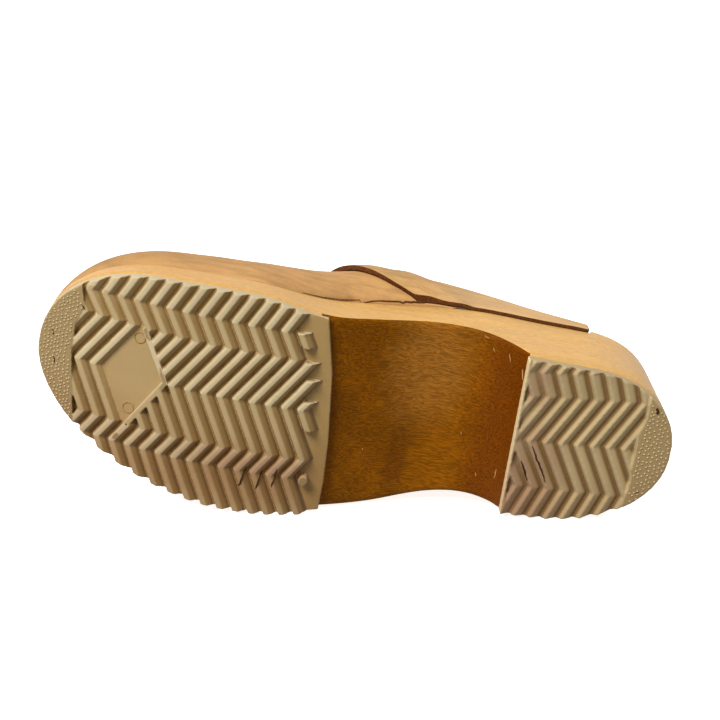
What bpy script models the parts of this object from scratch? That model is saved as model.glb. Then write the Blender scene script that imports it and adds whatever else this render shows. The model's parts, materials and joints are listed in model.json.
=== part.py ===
"""Right clog lying on its outer side: carved wooden sole, two rubber tread plates,
leather vamp and leather instep band.

Sizes are millimetres in the shoe's own frame: X from heel back to toe, Y to the
wearer's left, which is the inner side of this right shoe, and Z up from the ground.
"""
import math

import bmesh
import bpy
from mathutils import Matrix, Vector

MM = 0.001

# Overall sizes
HEEL_END = -1.3
TOE_END = 252.5
TREAD_THICK = 5.7
SEAT_GAP = 0.3
LEATHER = 2.2
TOE_SPRING = 15.0
BALL_X = 160.0
PLATE_LIFT = 2.0
PLATE_RUN = 30.0
PLATE_BACK = 100.0
HEEL_WOOD_Z = 6.0
BREAST_SKEW = 0.045

# Plan of the sole at the ground: distance of the inner and outer edge from the axis
PLAN = [
    # x, inner, outer
    (-20.0, 31.0, 35.0),
    (48.0, 31.1, 35.4),
    (60.0, 31.4, 36.1),
    (70.0, 32.0, 37.4),
    (80.0, 32.6, 39.4),
    (90.0, 32.7, 42.0),
    (100.0, 32.4, 45.2),
    (110.0, 31.9, 48.0),
    (120.0, 31.5, 49.4),
    (135.0, 31.5, 50.4),
    (148.0, 33.2, 52.8),
    (160.0, 35.8, 54.0),
    (172.0, 37.1, 54.1),
    (185.0, 37.0, 53.8),
    (200.0, 36.4, 53.6),
    (260.0, 36.0, 53.6),
]
# The axis moves over to this side between the two stations
TOE_AXIS_Y = -2.0
AXIS_MOVE = (60.0, 160.0)
# Stations where insets at the two ends start to draw the outline in along the shoe
HEEL_DRAW = 32.7
TOE_DRAW = 218.0
WAIST_X = 126.0

# Rounded ends of the plan: length and squareness of each quarter
ROUNDING = {
    "inner": {"heel": (40.0, 2.3), "toe": (50.0, 2.2)},
    "outer": {"heel": (50.0, 2.05), "toe": (80.0, 1.8)},
}

# Underside of the wood along the shoe, heel seat to the start of the front plate
ARCH = [
    # x, z
    (60.6, 6.0),
    (63.0, 9.4),
    (66.0, 12.8),
    (70.0, 16.4),
    (75.0, 19.3),
    (81.0, 21.3),
    (90.0, 22.1),
    (100.0, 21.2),
    (110.0, 18.8),
    (120.0, 15.4),
    (130.0, 11.3),
    (138.0, 8.4),
    (146.0, 6.7),
    (154.0, 6.1),
]

# Stations along the sole: heel to breast, even strides between (first, last, stride), then the toe
HEEL_STATIONS = [-0.9, 0.2, 2.0, 4.6, 8.0, 12.0, 17.0, 22.5, 28.0, 32.0, 33.2, 41.0, 48.0, 55.0,
                 60.6, 61.7, 63.0, 64.5, 66.0, 68.0, 70.5, 73.5, 77.0, 81.0, 86.0]
WAIST_STATIONS = (91.0, 205.0, 5.2)
TOE_STATIONS = [209.0, 216.0, 222.5, 228.5, 234.0, 239.0, 243.2, 246.6, 249.2, 251.0, 252.1]

# Top edge of the wood: ledge that carries the leather, and rim inside it
EDGE = [
    # x, ledge, rim
    (-20.0, 39.6, 44.2),
    (36.0, 39.6, 44.2),
    (60.0, 39.6, 45.2),
    (90.0, 39.2, 46.0),
    (107.0, 38.2, 45.8),
    (127.0, 34.8, 42.8),
    (140.0, 29.4, 37.4),
    (152.0, 23.8, 31.8),
    (163.0, 20.6, 28.6),
    (175.0, 20.2, 28.2),
    (190.0, 21.4, 29.0),
    (205.0, 22.4, 29.6),
    (225.0, 22.8, 29.6),
    (240.0, 22.9, 28.0),
    (260.0, 24.2, 26.0),
]
LEDGE_END = (32.0, 33.2)
REBATE_FRONT = 2.5
REBATE_BACK = 1.1
REBATE_GROWS = (108.0, 153.0)
HEEL_FLARE = 3.0
FLARE_START = (-7.0, 17.0)
FLARE_END = (55.0, 130.0)
FLARE_MIDDLE = 0.55
SOLE_CHAMFER = 0.9
LEDGE_CHAMFER = 0.4
LEDGE_SLOPE = 0.7
RIM_ROUND = 1.6
RIM_ROUND_START = (0.3, 0.6)
RIM_LOW_FROM = 150.0
RIM_LOW_SHARE = 0.75
RIM_LOW_LEAST = 0.7
FOOTBED_DISH = 4.0
FOOTBED_WIDE = 50.0
FOOTBED_SQUARE = 2.4
FOOTBED_COLUMNS = 8

# Sections of the last: bulge of the inner and outer side, ridge and crown of the instep
LAST = [
    # x, inner_bulge, outer_bulge, ridge_y, crown
    (20.0, 1.0, 1.0, 0.0, 82.0),
    (60.0, 1.4, 1.4, -1.0, 86.0),
    (80.0, 1.8, 1.8, -2.0, 87.5),
    (97.0, 3.4, 1.6, -3.0, 88.0),
    (112.0, 6.4, 1.6, -4.0, 87.5),
    (126.0, 6.8, 2.6, -4.5, 85.5),
    (147.0, 4.4, 5.6, -5.0, 79.5),
    (163.0, 2.5, 5.3, -5.5, 73.0),
    (180.0, 1.6, 3.4, -5.5, 66.5),
    (194.0, 1.6, 2.2, -5.0, 61.5),
    (212.0, 2.0, 1.6, -4.0, 57.0),
    (230.0, 2.2, 1.0, -3.0, 55.0),
    (260.0, 1.0, 0.0, -2.0, 54.0),
]
CROWN_ROUNDING = (66.0, 2.1)
SIDE_WALL = 14.0
SIDE_WALL_SHARE = 0.35
SECTION_SQUARE = 2.15

# Edges of the leather round the section: 0 at the sole edge, WALL_SHARE at the widest, 0.5 on the crown
WALL_SHARE = 0.1
LEATHER_EDGES = [
    # around, wing_back, band_front, vamp_back
    (0.000, 33.6, 105.5, 89.5),
    (0.032, 34.0, 112.0, 95.0),
    (0.054, 52.0, 117.5, 100.0),
    (0.075, 63.0, 122.0, 104.0),
    (0.100, 75.5, 126.5, 108.0),
    (0.150, 94.0, 132.5, 114.0),
    (0.200, 101.0, 137.0, 119.0),
    (0.276, 106.0, 142.0, 124.0),
    (0.388, 109.5, 147.0, 129.5),
    (0.500, 110.5, 149.5, 132.0),
]
# Run over which the band climbs onto the vamp: full run, least share at the sole edge, flat end
BAND_EASE = 14.0
EASE_LEAST = 0.45
EASE_AROUND = 0.08
EASE_SHORT = 3.0
SKIVE_RUN = 13.0
SKIVE_THIN = 0.4
VAMP_ROWS = 28
VAMP_CROWDING = 1.5
BAND_ROWS = 23
# Steps round half a section, sole edge to crown
AROUND = [0.0, 0.016, 0.032, 0.043, 0.056, 0.07, 0.085, 0.1, 0.13, 0.16, 0.2, 0.245, 0.3, 0.36, 0.43, 0.5]

# Zigzag of the ribs: distance across the shoe at the first rib, how far the rib is shifted to the toe,
# and how much the corner moves to the inner side for each millimetre towards the toe
FRONT_ZIGZAG = [
    # y, shift, drift
    (50.0, -21.0, 0.0),
    (25.2, -7.9, 0.0),
    (14.6, -13.7, 0.045),
    (-6.0, 0.0, 0.045),
    (-27.0, -10.5, 0.045),
    (-35.7, -4.9, 0.045),
    (-62.0, -17.5, 0.0),
]
HEEL_ZIGZAG = [
    # y, shift, drift
    (40.0, -12.1, 0.0),
    (29.5, -5.1, -0.15),
    (18.9, -9.8, -0.11),
    (-0.9, 0.0, -0.09),
    (-21.0, -11.7, -0.06),
    (-42.0, -5.3, 0.0),
]
# Saw-tooth profile of a rib: half crest, foot of the steep toe side, depth, pitch, place of the first rib,
# and the station, counted from the first rib, behind which the corners drift no further
FRONT_RIB = {"crest": 1.05, "foot": 2.0, "depth": 3.3, "pitch": 6.4, "first": 190.9, "drift_from": 0.0}
HEEL_RIB = {"crest": 0.15, "foot": 1.85, "depth": 2.3, "pitch": 6.25, "first": 36.5, "drift_from": -30.0}

# Corners of the plain pads and of the flat rear zone, in plan
TOE_PAD = [(239.0, 40.0), (237.0, 26.0), (235.0, 18.0), (238.0, 10.5), (238.4, -1.0),
           (235.0, -28.0), (234.0, -60.0), (262.0, -60.0), (262.0, 40.0)]
DIAMOND = [(225.6, -4.8), (211.3, 16.4), (200.4, -5.4), (214.4, -27.4)]
DIAMOND_DEEP = 2.5
DIAMOND_BARS = [
    # start x, start y, end x, end y, width
    (210.3, 14.8, 199.8, -5.2, 2.0),
    (199.8, -5.2, 216.8, -32.4, 2.0),
]
REAR_ZONE = [(142.0, 46.0), (153.2, 25.2), (147.4, 14.9), (147.6, 13.9), (141.3, 13.7), (146.1, 6.7),
             (139.6, 6.5), (148.3, -6.2), (137.8, -27.0), (143.4, -35.7), (130.9, -61.0), (112.0, -61.0),
             (112.0, 46.0)]
REAR_ZONE_DEEP = 3.45
REAR_EDGE = [(136.1, 8.8), (132.7, -19.7), (131.6, -37.4), (131.7, -60.0)]
REAR_CORNER_X = 141.4
# Pieces of ribs left standing in the rear zone
REAR_PIECES = [
    # rib, from y, to y
    (-5, 19.8, 25.6),
    (-7, -14.5, -2.6),
]
PIECE_GAP = 0.2
REAR_STUD = (140.2, -36.4, 140.0, -35.7, 3.6)
HEEL_PAD = [(13.3, 40.0), (12.4, 16.0), (13.6, 7.0), (12.9, -3.3), (12.0, -12.0), (12.2, -42.0),
            (-12.0, -42.0), (-12.0, 40.0)]
HEEL_FRONT = 61.4
# Width of the rim that closes the heel grooves along the front
HEEL_RIM = 0.9
# How far the raised forms stand proud of the rib crests, and how far they stop short of the plate's back
PAD_PROUD = 0.15
BAR_PROUD = 0.06
STUD_PROUD = 0.05
PAD_SUNK = 1.3
BAR_SUNK = 1.4
SUNK = 1.5
# Floor of the diamond: its share of the opening, rise from the cut and depth in the plate
DIAMOND_FLOOR = 0.985
FLOOR_PROUD = 0.1
FLOOR_SUNK = 1.1
# Length of the ribbed slabs, of the outlines that trim them, and height of the trimming tools
FRONT_SLAB = (122.0, 254.0)
HEEL_SLAB = (-2.0, 70.0)
FRONT_OUTLINE_FROM = 147.0
HEEL_OUTLINE_TO = 59.0
SLAB_SPARE = (8.0, 12.0)
SLAB_STEP = 4.0
BELOW = -3.0
ABOVE = 12.0

# Kilograms per cubic metre
DENSITY = {
    "wood_sole": 560.0,
    "tread_front": 1150.0,
    "tread_heel": 1150.0,
    "vamp": 900.0,
    "instep_band": 900.0,
}


def smooth(t):
    t = min(1.0, max(0.0, t))
    return t * t * (3.0 - 2.0 * t)


def ramp(x, start, end):
    """Smooth step from 0 at one station to 1 at another."""
    return smooth((x - start) / (end - start))


def curve(table, column, x):
    """Smooth curve through one column of a table, read at x."""
    if x <= table[0][0]:
        return table[0][column]
    if x >= table[-1][0]:
        return table[-1][column]
    row = 0
    while table[row + 1][0] < x:
        row += 1

    def slope(i):
        if i == 0 or i == len(table) - 1:
            return 0.0
        before = (table[i][column] - table[i - 1][column]) / (table[i][0] - table[i - 1][0])
        after = (table[i + 1][column] - table[i][column]) / (table[i + 1][0] - table[i][0])
        if before * after <= 0.0:
            return 0.0
        return 2.0 * before * after / (before + after)

    start = table[row]
    end = table[row + 1]
    step = end[0] - start[0]
    t = (x - start[0]) / step
    t2 = t * t
    t3 = t2 * t
    return ((2 * t3 - 3 * t2 + 1) * start[column] + (t3 - 2 * t2 + t) * step * slope(row)
            + (3 * t2 - 2 * t3) * end[column] + (t3 - t2) * step * slope(row + 1))


def rounded(distance, length, square):
    """Falls from 1 to 0 over the last part of a form, as a quarter of a superellipse does."""
    if distance >= length:
        return 1.0
    t = max(0.0, 1.0 - distance / length)
    return max(0.0, 1.0 - t ** square) ** (1.0 / square)


def axis_y(x):
    return TOE_AXIS_Y * ramp(x, *AXIS_MOVE)


def plan_y(side, x, inset, end_inset=None):
    """Edge of the sole on one side, moved inwards by inset."""
    ends = inset if end_inset is None else end_inset
    heel_length, heel_square = ROUNDING[side]["heel"]
    toe_length, toe_square = ROUNDING[side]["toe"]
    fall = rounded(x - (HEEL_END + ends), heel_length, heel_square)
    fall = fall * rounded((TOE_END - ends) - x, toe_length, toe_square)
    middle = axis_y(x)
    if side == "inner":
        return middle + max(0.0, curve(PLAN, 1, x) - inset - middle) * fall
    return middle - max(0.0, curve(PLAN, 2, x) - inset + middle) * fall


def tread_z(x):
    """Ground line of the tread: flat heel, slightly rockered front, toe spring."""
    if x > BALL_X:
        return TOE_SPRING * ((x - BALL_X) / (TOE_END - BALL_X)) ** 2
    if x > PLATE_BACK:
        return PLATE_LIFT * ((BALL_X - x) / PLATE_RUN) ** 2
    return 0.0


def under_z(x, y):
    """Underside of the wood."""
    along = x - BREAST_SKEW * y
    if along <= ARCH[0][0]:
        return HEEL_WOOD_Z
    if along < ARCH[-1][0]:
        return curve(ARCH, 1, along)
    return tread_z(along) + HEEL_WOOD_Z


def under_leather(x):
    """1 where leather stands on the ledge, 0 behind the ends of its wings."""
    return ramp(x, *LEDGE_END)


def flare(x):
    """Outward slope of the heel block's sides."""
    return HEEL_FLARE * ramp(x, *FLARE_START) * (1.0 - ramp(x, *FLARE_END))


def rebate(x):
    return REBATE_BACK + (REBATE_FRONT - REBATE_BACK) * ramp(x, *REBATE_GROWS)


def rim_z(x):
    return curve(EDGE, 2, x)


def ledge_z(x):
    bare = rim_z(x) - RIM_ROUND
    return bare + (curve(EDGE, 1, x) - bare) * under_leather(x)


def crown_z(x):
    """Crown of the last, rounded down to the ledge at the toe."""
    tip = TOE_END - REBATE_FRONT + SEAT_GAP
    base = curve(EDGE, 1, x)
    return base + (curve(LAST, 4, x) - base) * rounded(tip - x, *CROWN_ROUNDING)


def side_wall(x):
    return min(SIDE_WALL, SIDE_WALL_SHARE * (crown_z(x) - curve(EDGE, 1, x)))


def last_point(x, around):
    """Point on the last: around runs from the inner sole edge over the crown to the outer one."""
    side = "inner" if around <= 0.5 else "outer"
    way = around if around <= 0.5 else 1.0 - around
    end_inset = REBATE_FRONT - SEAT_GAP
    base = plan_y(side, x, rebate(x) - SEAT_GAP - flare(x), end_inset)
    sign = 1.0 if side == "inner" else -1.0
    length, square = ROUNDING[side]["toe"]
    bulge = curve(LAST, 1 if side == "inner" else 2, x) * rounded(TOE_END - end_inset - x, length, square)
    low = curve(EDGE, 1, x) + SEAT_GAP
    wall = side_wall(x)
    if way <= WALL_SHARE:
        t = way / WALL_SHARE
        return Vector((x, base + sign * bulge * (1.0 - (1.0 - t) ** 2), low + wall * t))
    angle = (way - WALL_SHARE) / (0.5 - WALL_SHARE) * math.pi / 2.0
    ridge = axis_y(x) + (curve(LAST, 3, x) - axis_y(x)) * rounded(TOE_END - end_inset - x, length, square)
    wide = base + sign * bulge
    power = 2.0 / SECTION_SQUARE
    across = max(0.0, math.cos(angle)) ** power
    up = math.sin(angle) ** power
    over = crown_z(x) - curve(EDGE, 1, x) - wall
    return Vector((x, ridge + (wide - ridge) * across, low + wall + over * up))


def leather_edge(column, around):
    return curve(LEATHER_EDGES, column, around if around <= 0.5 else 1.0 - around)


def material(name, colour, roughness):
    made = bpy.data.materials.new(name)
    made.use_nodes = True
    shader = made.node_tree.nodes["Principled BSDF"]
    shader.inputs["Base Color"].default_value = (*colour, 1.0)
    shader.inputs["Roughness"].default_value = roughness
    return made


def solid(name, points, faces, look=None, sharp=40.0):
    """One closed mesh object from points in millimetres."""
    mesh = bpy.data.meshes.new(name)
    mesh.from_pydata([tuple(Vector(p) * MM) for p in points], [], faces)
    shape = bmesh.new()
    shape.from_mesh(mesh)
    bmesh.ops.recalc_face_normals(shape, faces=shape.faces)
    shape.to_mesh(mesh)
    shape.free()
    mesh.shade_smooth()
    mesh.set_sharp_from_angle(angle=math.radians(sharp))
    made = bpy.data.objects.new(name, mesh)
    bpy.context.scene.collection.objects.link(made)
    if look:
        mesh.materials.append(look)
    return made


def sole_stations():
    """Stations along the sole, closer at both ends, at the breast and at the ends of the wings."""
    xs = [HEEL_END, *HEEL_STATIONS]
    x, last, stride = WAIST_STATIONS
    while x < last:
        xs.append(x)
        x += stride
    return xs + [*TOE_STATIONS, TOE_END]


def end_pull(x):
    """Share of an inset by which a station moves along the shoe: 1 at the heel, -1 at the toe."""
    return 1.0 - ramp(x, HEEL_END, HEEL_DRAW) - ramp(x, TOE_DRAW, TOE_END)


def ring(stations, inset, height, skewed=False):
    """Closed loop of points round the sole, from the heel along the inner side to the toe and back."""
    loop = []
    last = len(stations) - 1
    order = [("inner", k) for k in range(last + 1)] + [("outer", k) for k in range(last - 1, 0, -1)]
    for side, k in order:
        x = stations[k]
        ends = inset(TOE_END) if x > WAIST_X else inset(HEEL_END)
        x += ends * end_pull(x)
        y = axis_y(x)
        if 0 < k < last:
            y = plan_y(side, x, inset(x), ends)
            if skewed:
                x += BREAST_SKEW * y
                y = plan_y(side, x, inset(x), ends)
        loop.append((x, y, height(x, y)))
    return loop


def wood_sole(look):
    stations = sole_stations()
    loops = [
        ring(stations, lambda x: SOLE_CHAMFER, under_z, True),
        ring(stations, lambda x: 0.0, lambda x, y: under_z(x, y) + SOLE_CHAMFER, True),
        ring(stations, lambda x: -FLARE_MIDDLE * flare(x),
             lambda x, y: under_z(x, y) + FLARE_MIDDLE * (ledge_z(x) - under_z(x, y))),
        ring(stations, lambda x: -flare(x), lambda x, y: ledge_z(x) - LEDGE_CHAMFER),
        ring(stations, lambda x: LEDGE_CHAMFER - flare(x), lambda x, y: ledge_z(x)),
        ring(stations, lambda x: rebate(x) - flare(x),
             lambda x, y: ledge_z(x) + LEDGE_SLOPE * (1.0 - under_leather(x))),
        ring(stations, lambda x: rebate(x) + RIM_ROUND_START[0] - flare(x),
             lambda x, y: rim_top(x) - RIM_ROUND_START[1]),
        ring(stations, lambda x: rebate(x) + RIM_ROUND - flare(x), lambda x, y: rim_top(x)),
    ]
    points = []
    for loop in loops:
        points += loop
    count = len(loops[0])
    faces = []
    for level in range(len(loops) - 1):
        for k in range(count):
            n = (k + 1) % count
            low = level * count
            faces.append((low + k, low + n, low + count + n, low + count + k))
    top = count // 2
    for k in range(top):
        faces.append(tuple(dict.fromkeys((k, k + 1, (count - k - 1) % count, (count - k) % count))))
    faces += footbed(points, loops[-1], (len(loops) - 1) * count)
    return solid("wood_sole", points, faces, look)


def rim_top(x):
    """Top of the rim, kept under the leather where the toe closes in."""
    tall = rim_z(x) - ledge_z(x)
    if x > RIM_LOW_FROM:
        tall = min(tall, RIM_LOW_SHARE * side_wall(x) + RIM_LOW_LEAST)
    return ledge_z(x) + tall


def footbed(points, loop, start):
    """Dished top of the wood inside the rim, as rows across the sole."""
    columns = FOOTBED_COLUMNS
    count = len(loop)
    top = count // 2
    rows = [[start]]
    for k in range(1, top):
        left = Vector(loop[k])
        right = Vector(loop[count - k])
        row = [start + k]
        wide = (left - right).length
        deep = FOOTBED_DISH * smooth(wide / FOOTBED_WIDE)
        for c in range(1, columns):
            t = c / columns
            p = left.lerp(right, t)
            p.z -= deep * (1.0 - abs(2.0 * t - 1.0) ** FOOTBED_SQUARE)
            row.append(len(points))
            points.append(tuple(p))
        row.append(start + count - k)
        rows.append(row)
    rows.append([start + top])
    faces = []
    for near, far in zip(rows, rows[1:]):
        if len(near) == 1:
            faces += [(near[0], far[c], far[c + 1]) for c in range(columns)]
        elif len(far) == 1:
            faces += [(near[c], far[0], near[c + 1]) for c in range(columns)]
        else:
            faces += [(near[c], far[c], far[c + 1], near[c + 1]) for c in range(columns)]
    return faces


def grid_normals(grid):
    """Outward directions of a grid of points on the last."""
    rows = len(grid)
    columns = len(grid[0])
    normals = []
    for i in range(rows):
        line = []
        for j in range(columns):
            along = grid[min(i + 1, rows - 1)][j] - grid[max(i - 1, 0)][j]
            across = grid[i][min(j + 1, columns - 1)] - grid[i][max(j - 1, 0)]
            line.append(across.cross(along).normalized())
        normals.append(line)
    return normals


def shell(grid, inner_grow, outer_grow, tip=None):
    """Points and faces of a leather sheet on the last, as far out as the two functions say."""
    normals = grid_normals(grid)
    rows = len(grid)
    columns = len(grid[0])
    points = []
    for grow in (outer_grow, inner_grow):
        for i in range(rows):
            for j in range(columns):
                p = grid[i][j] + normals[i][j] * grow(i, j)
                if j in (0, columns - 1):
                    p.z = curve(EDGE, 1, p.x) + SEAT_GAP
                points.append(p)
    skip = rows * columns

    def at(layer, i, j):
        return layer * skip + i * columns + j

    faces = []
    for i in range(rows - 1):
        for j in range(columns - 1):
            faces.append((at(0, i, j), at(0, i + 1, j), at(0, i + 1, j + 1), at(0, i, j + 1)))
            faces.append((at(1, i, j), at(1, i, j + 1), at(1, i + 1, j + 1), at(1, i + 1, j)))
        for j in (0, columns - 1):
            faces.append((at(0, i, j), at(1, i, j), at(1, i + 1, j), at(0, i + 1, j)))
    closed = [0] if tip else [0, rows - 1]
    for i in closed:
        for j in range(columns - 1):
            faces.append((at(0, i, j), at(0, i, j + 1), at(1, i, j + 1), at(1, i, j)))
    if tip:
        end = rows - 1
        outer = len(points)
        points += [tip + Vector((outer_grow(end, 0), 0.0, 0.0)), tip + Vector((inner_grow(end, 0), 0.0, 0.0))]
        for j in range(columns - 1):
            faces.append((at(0, end, j), at(0, end, j + 1), outer))
            faces.append((at(1, end, j), outer + 1, at(1, end, j + 1)))
        for j in (0, columns - 1):
            faces.append((at(0, end, j), outer, outer + 1, at(1, end, j)))
    return points, faces


def half_and_mirror(steps):
    return steps + [1.0 - s for s in reversed(steps[:-1])]


def vamp_thick(x, around):
    """Thickness of the vamp, skived thin towards its rear edge under the band."""
    run = smooth((x - leather_edge(3, around)) / SKIVE_RUN)
    return LEATHER * (SKIVE_THIN + (1.0 - SKIVE_THIN) * run)


def vamp(look):
    around = half_and_mirror(AROUND)
    rows = VAMP_ROWS
    tip_x = TOE_END - REBATE_FRONT + SEAT_GAP
    grid = []
    for i in range(rows):
        t = 1.0 - (1.0 - i / rows) ** VAMP_CROWDING
        line = []
        for v in around:
            back = leather_edge(3, v)
            line.append(last_point(back + (tip_x - back) * t, v))
        grid.append(line)
    tip = Vector((tip_x, axis_y(tip_x), curve(EDGE, 1, tip_x) + SEAT_GAP))
    points, faces = shell(grid, lambda i, j: 0.0, lambda i, j: vamp_thick(grid[i][j].x, around[j]), tip)
    return solid("vamp", points, faces, look, 50.0)


def instep_band(look):
    around = half_and_mirror(AROUND)
    rows = BAND_ROWS
    grid = []
    lift = []
    for i in range(rows):
        line = []
        lifts = []
        for v in around:
            back = leather_edge(1, v)
            x = back + (leather_edge(2, v) - back) * i / (rows - 1)
            line.append(last_point(x, v))
            ease = BAND_EASE * (EASE_LEAST + (1.0 - EASE_LEAST) * smooth(min(v, 1.0 - v) / EASE_AROUND))
            over = smooth((x - leather_edge(3, v) + ease) / (ease - EASE_SHORT))
            lifts.append((vamp_thick(x, v) + SEAT_GAP) * over)
        grid.append(line)
        lift.append(lifts)
    points, faces = shell(grid, lambda i, j: lift[i][j], lambda i, j: lift[i][j] + LEATHER)
    return solid("instep_band", points, faces, look, 50.0)


def prism(name, outline, low, high):
    """Upright block on a plan outline."""
    count = len(outline)
    points = [(x, y, low) for x, y in outline] + [(x, y, high) for x, y in outline]
    faces = [tuple(range(count)), tuple(range(count, 2 * count))]
    for k in range(count):
        n = (k + 1) % count
        faces.append((k, n, count + n, count + k))
    return solid(name, points, faces)


def combine(target, tool, way):
    """Carries out one Boolean and takes the tool away."""
    step = target.modifiers.new(way, "BOOLEAN")
    step.operation = way
    step.solver = "EXACT"
    step.object = tool
    bpy.context.view_layer.update()
    done = bpy.data.meshes.new_from_object(target.evaluated_get(bpy.context.evaluated_depsgraph_get()))
    target.modifiers.clear()
    target.data = done
    bpy.data.objects.remove(tool)


def ribbed_slab(name, zigzag, rib, start, end, look):
    """Flat slab whose underside is a row of zigzag saw-tooth ribs; crests lie at height 0."""
    first = math.floor((start - rib["first"]) / rib["pitch"]) + 3
    last = math.ceil((end - rib["first"]) / rib["pitch"])
    low_x = start - SLAB_SPARE[0]
    high_x = end + SLAB_SPARE[1]
    rows = []
    for y, shift, drift in zigzag:
        row = [(low_x, y, rib["depth"])]
        for n in range(first, last + 1):
            along = n * rib["pitch"] + shift
            middle = rib["first"] + along
            across = y + drift * max(along, rib["drift_from"])
            row.append((middle - rib["crest"], across, 0.0))
            row.append((middle + rib["crest"], across, 0.0))
            row.append((middle + rib["foot"], across, rib["depth"]))
        row.append((high_x, y, rib["depth"]))
        rows.append(row)
    wide = len(rows[0])
    points = [p for row in rows for p in row]
    faces = []
    for r in range(len(rows) - 1):
        for c in range(wide - 1):
            a = r * wide + c
            faces.append((a, a + 1, a + wide + 1, a + wide))
    steps = int((high_x - low_x) / SLAB_STEP)
    tops = []
    for y in (zigzag[0][0], zigzag[-1][0]):
        line = []
        for s in range(steps + 1):
            line.append(len(points))
            points.append((low_x + (high_x - low_x) * s / steps, y, TREAD_THICK))
        tops.append(line)
    for s in range(steps):
        faces.append((tops[0][s], tops[1][s], tops[1][s + 1], tops[0][s + 1]))
    base = (len(rows) - 1) * wide
    faces.append(tuple(range(wide)) + tuple(reversed(tops[0])))
    faces.append(tuple(range(base, base + wide)) + tuple(reversed(tops[1])))
    faces.append(tuple(r * wide for r in range(len(rows))) + (tops[1][0], tops[0][0]))
    faces.append(tuple(r * wide + wide - 1 for r in range(len(rows))) + (tops[1][-1], tops[0][-1]))
    return solid(name, points, faces, look, 25.0)


def shrunk(outline, share):
    """Plan outline drawn in towards its middle."""
    middle = sum((Vector(p) for p in outline), Vector((0.0, 0.0))) / len(outline)
    return [tuple(middle + (Vector(p) - middle) * share) for p in outline]


def rib_piece(zigzag, rib, number, low_y, high_y):
    """Plan outline round one rib between two distances across the shoe."""
    bends = [(y, shift) for y, shift, drift in zigzag if low_y < y < high_y]
    stops = [(high_y, shift_at(zigzag, high_y))] + bends + [(low_y, shift_at(zigzag, low_y))]
    middle = rib["first"] + number * rib["pitch"]
    toe_side = [(middle + shift + rib["foot"] - PIECE_GAP, y) for y, shift in stops]
    heel_side = [(middle + shift + rib["foot"] - rib["pitch"] + PIECE_GAP, y) for y, shift in stops]
    return toe_side + heel_side[::-1]


def shift_at(zigzag, y):
    """Shift of the ribs at a distance across the shoe."""
    for (high, start, high_drift), (low, end, low_drift) in zip(zigzag, zigzag[1:]):
        if low <= y <= high:
            return start + (end - start) * (high - y) / (high - low)
    raise ValueError("outside the zigzag")


def capsule(start_x, start_y, end_x, end_y, width):
    """Plan outline of a rounded lug."""
    start = Vector((start_x, start_y))
    end = Vector((end_x, end_y))
    heading = math.atan2(end.y - start.y, end.x - start.x)
    outline = []
    for centre, turn in ((end, -0.5), (start, 0.5)):
        for s in range(6):
            angle = heading + math.pi * (turn + s / 5.0)
            outline.append(tuple(centre + Vector((math.cos(angle), math.sin(angle))) * width / 2.0))
    return outline


def plan_outline(inset, from_x, to_x):
    """Outline of the sole between two stations, one point every few millimetres."""
    xs = [x for x in sole_stations() if from_x < x < to_x]
    loop = []
    for side, order in (("inner", xs), ("outer", list(reversed(xs)))):
        for x in order:
            shifted = x + inset * end_pull(x)
            loop.append((shifted, plan_y(side, shifted, inset)))
    return loop


def tread_front(look):
    plate = ribbed_slab("tread_front", FRONT_ZIGZAG, FRONT_RIB, *FRONT_SLAB, look)
    combine(plate, prism("diamond_clear", DIAMOND, BELOW, DIAMOND_DEEP), "DIFFERENCE")
    floor_z = DIAMOND_DEEP - FLOOR_PROUD
    floor = prism("diamond_floor", shrunk(DIAMOND, DIAMOND_FLOOR), floor_z, TREAD_THICK - FLOOR_SUNK)
    combine(plate, floor, "UNION")
    for bar in DIAMOND_BARS:
        combine(plate, prism("diamond_bar", capsule(*bar), -BAR_PROUD, TREAD_THICK - BAR_SUNK), "UNION")
    combine(plate, prism("toe_pad", TOE_PAD, -PAD_PROUD, TREAD_THICK - PAD_SUNK), "UNION")
    clear = prism("rear_clear", REAR_ZONE, BELOW, REAR_ZONE_DEEP)
    for rib, low_y, high_y in REAR_PIECES:
        form = rib_piece(FRONT_ZIGZAG, FRONT_RIB, rib, low_y, high_y)
        combine(clear, prism("rib_piece", form, 2.0 * BELOW, ABOVE), "DIFFERENCE")
    combine(plate, clear, "DIFFERENCE")
    combine(plate, prism("rear_stud", capsule(*REAR_STUD), -STUD_PROUD, TREAD_THICK - SUNK), "UNION")
    outline = plan_outline(SEAT_GAP, FRONT_OUTLINE_FROM, TOE_END + 1.0)
    outline += [(x, max(y, plan_y("outer", x, SEAT_GAP))) for x, y in reversed(REAR_EDGE)]
    outline += [(REAR_CORNER_X, plan_y("inner", REAR_CORNER_X, SEAT_GAP))]
    combine(plate, prism("plate_outline", outline, BELOW, ABOVE), "INTERSECT")
    for vertex in plate.data.vertices:
        x = vertex.co.x / MM
        y = vertex.co.y / MM
        z = vertex.co.z / MM
        ground = tread_z(x)
        tall = under_z(x, y) - SEAT_GAP - ground
        vertex.co.z = (ground + z * tall / TREAD_THICK) * MM
    finish(plate, 25.0)
    return plate


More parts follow.
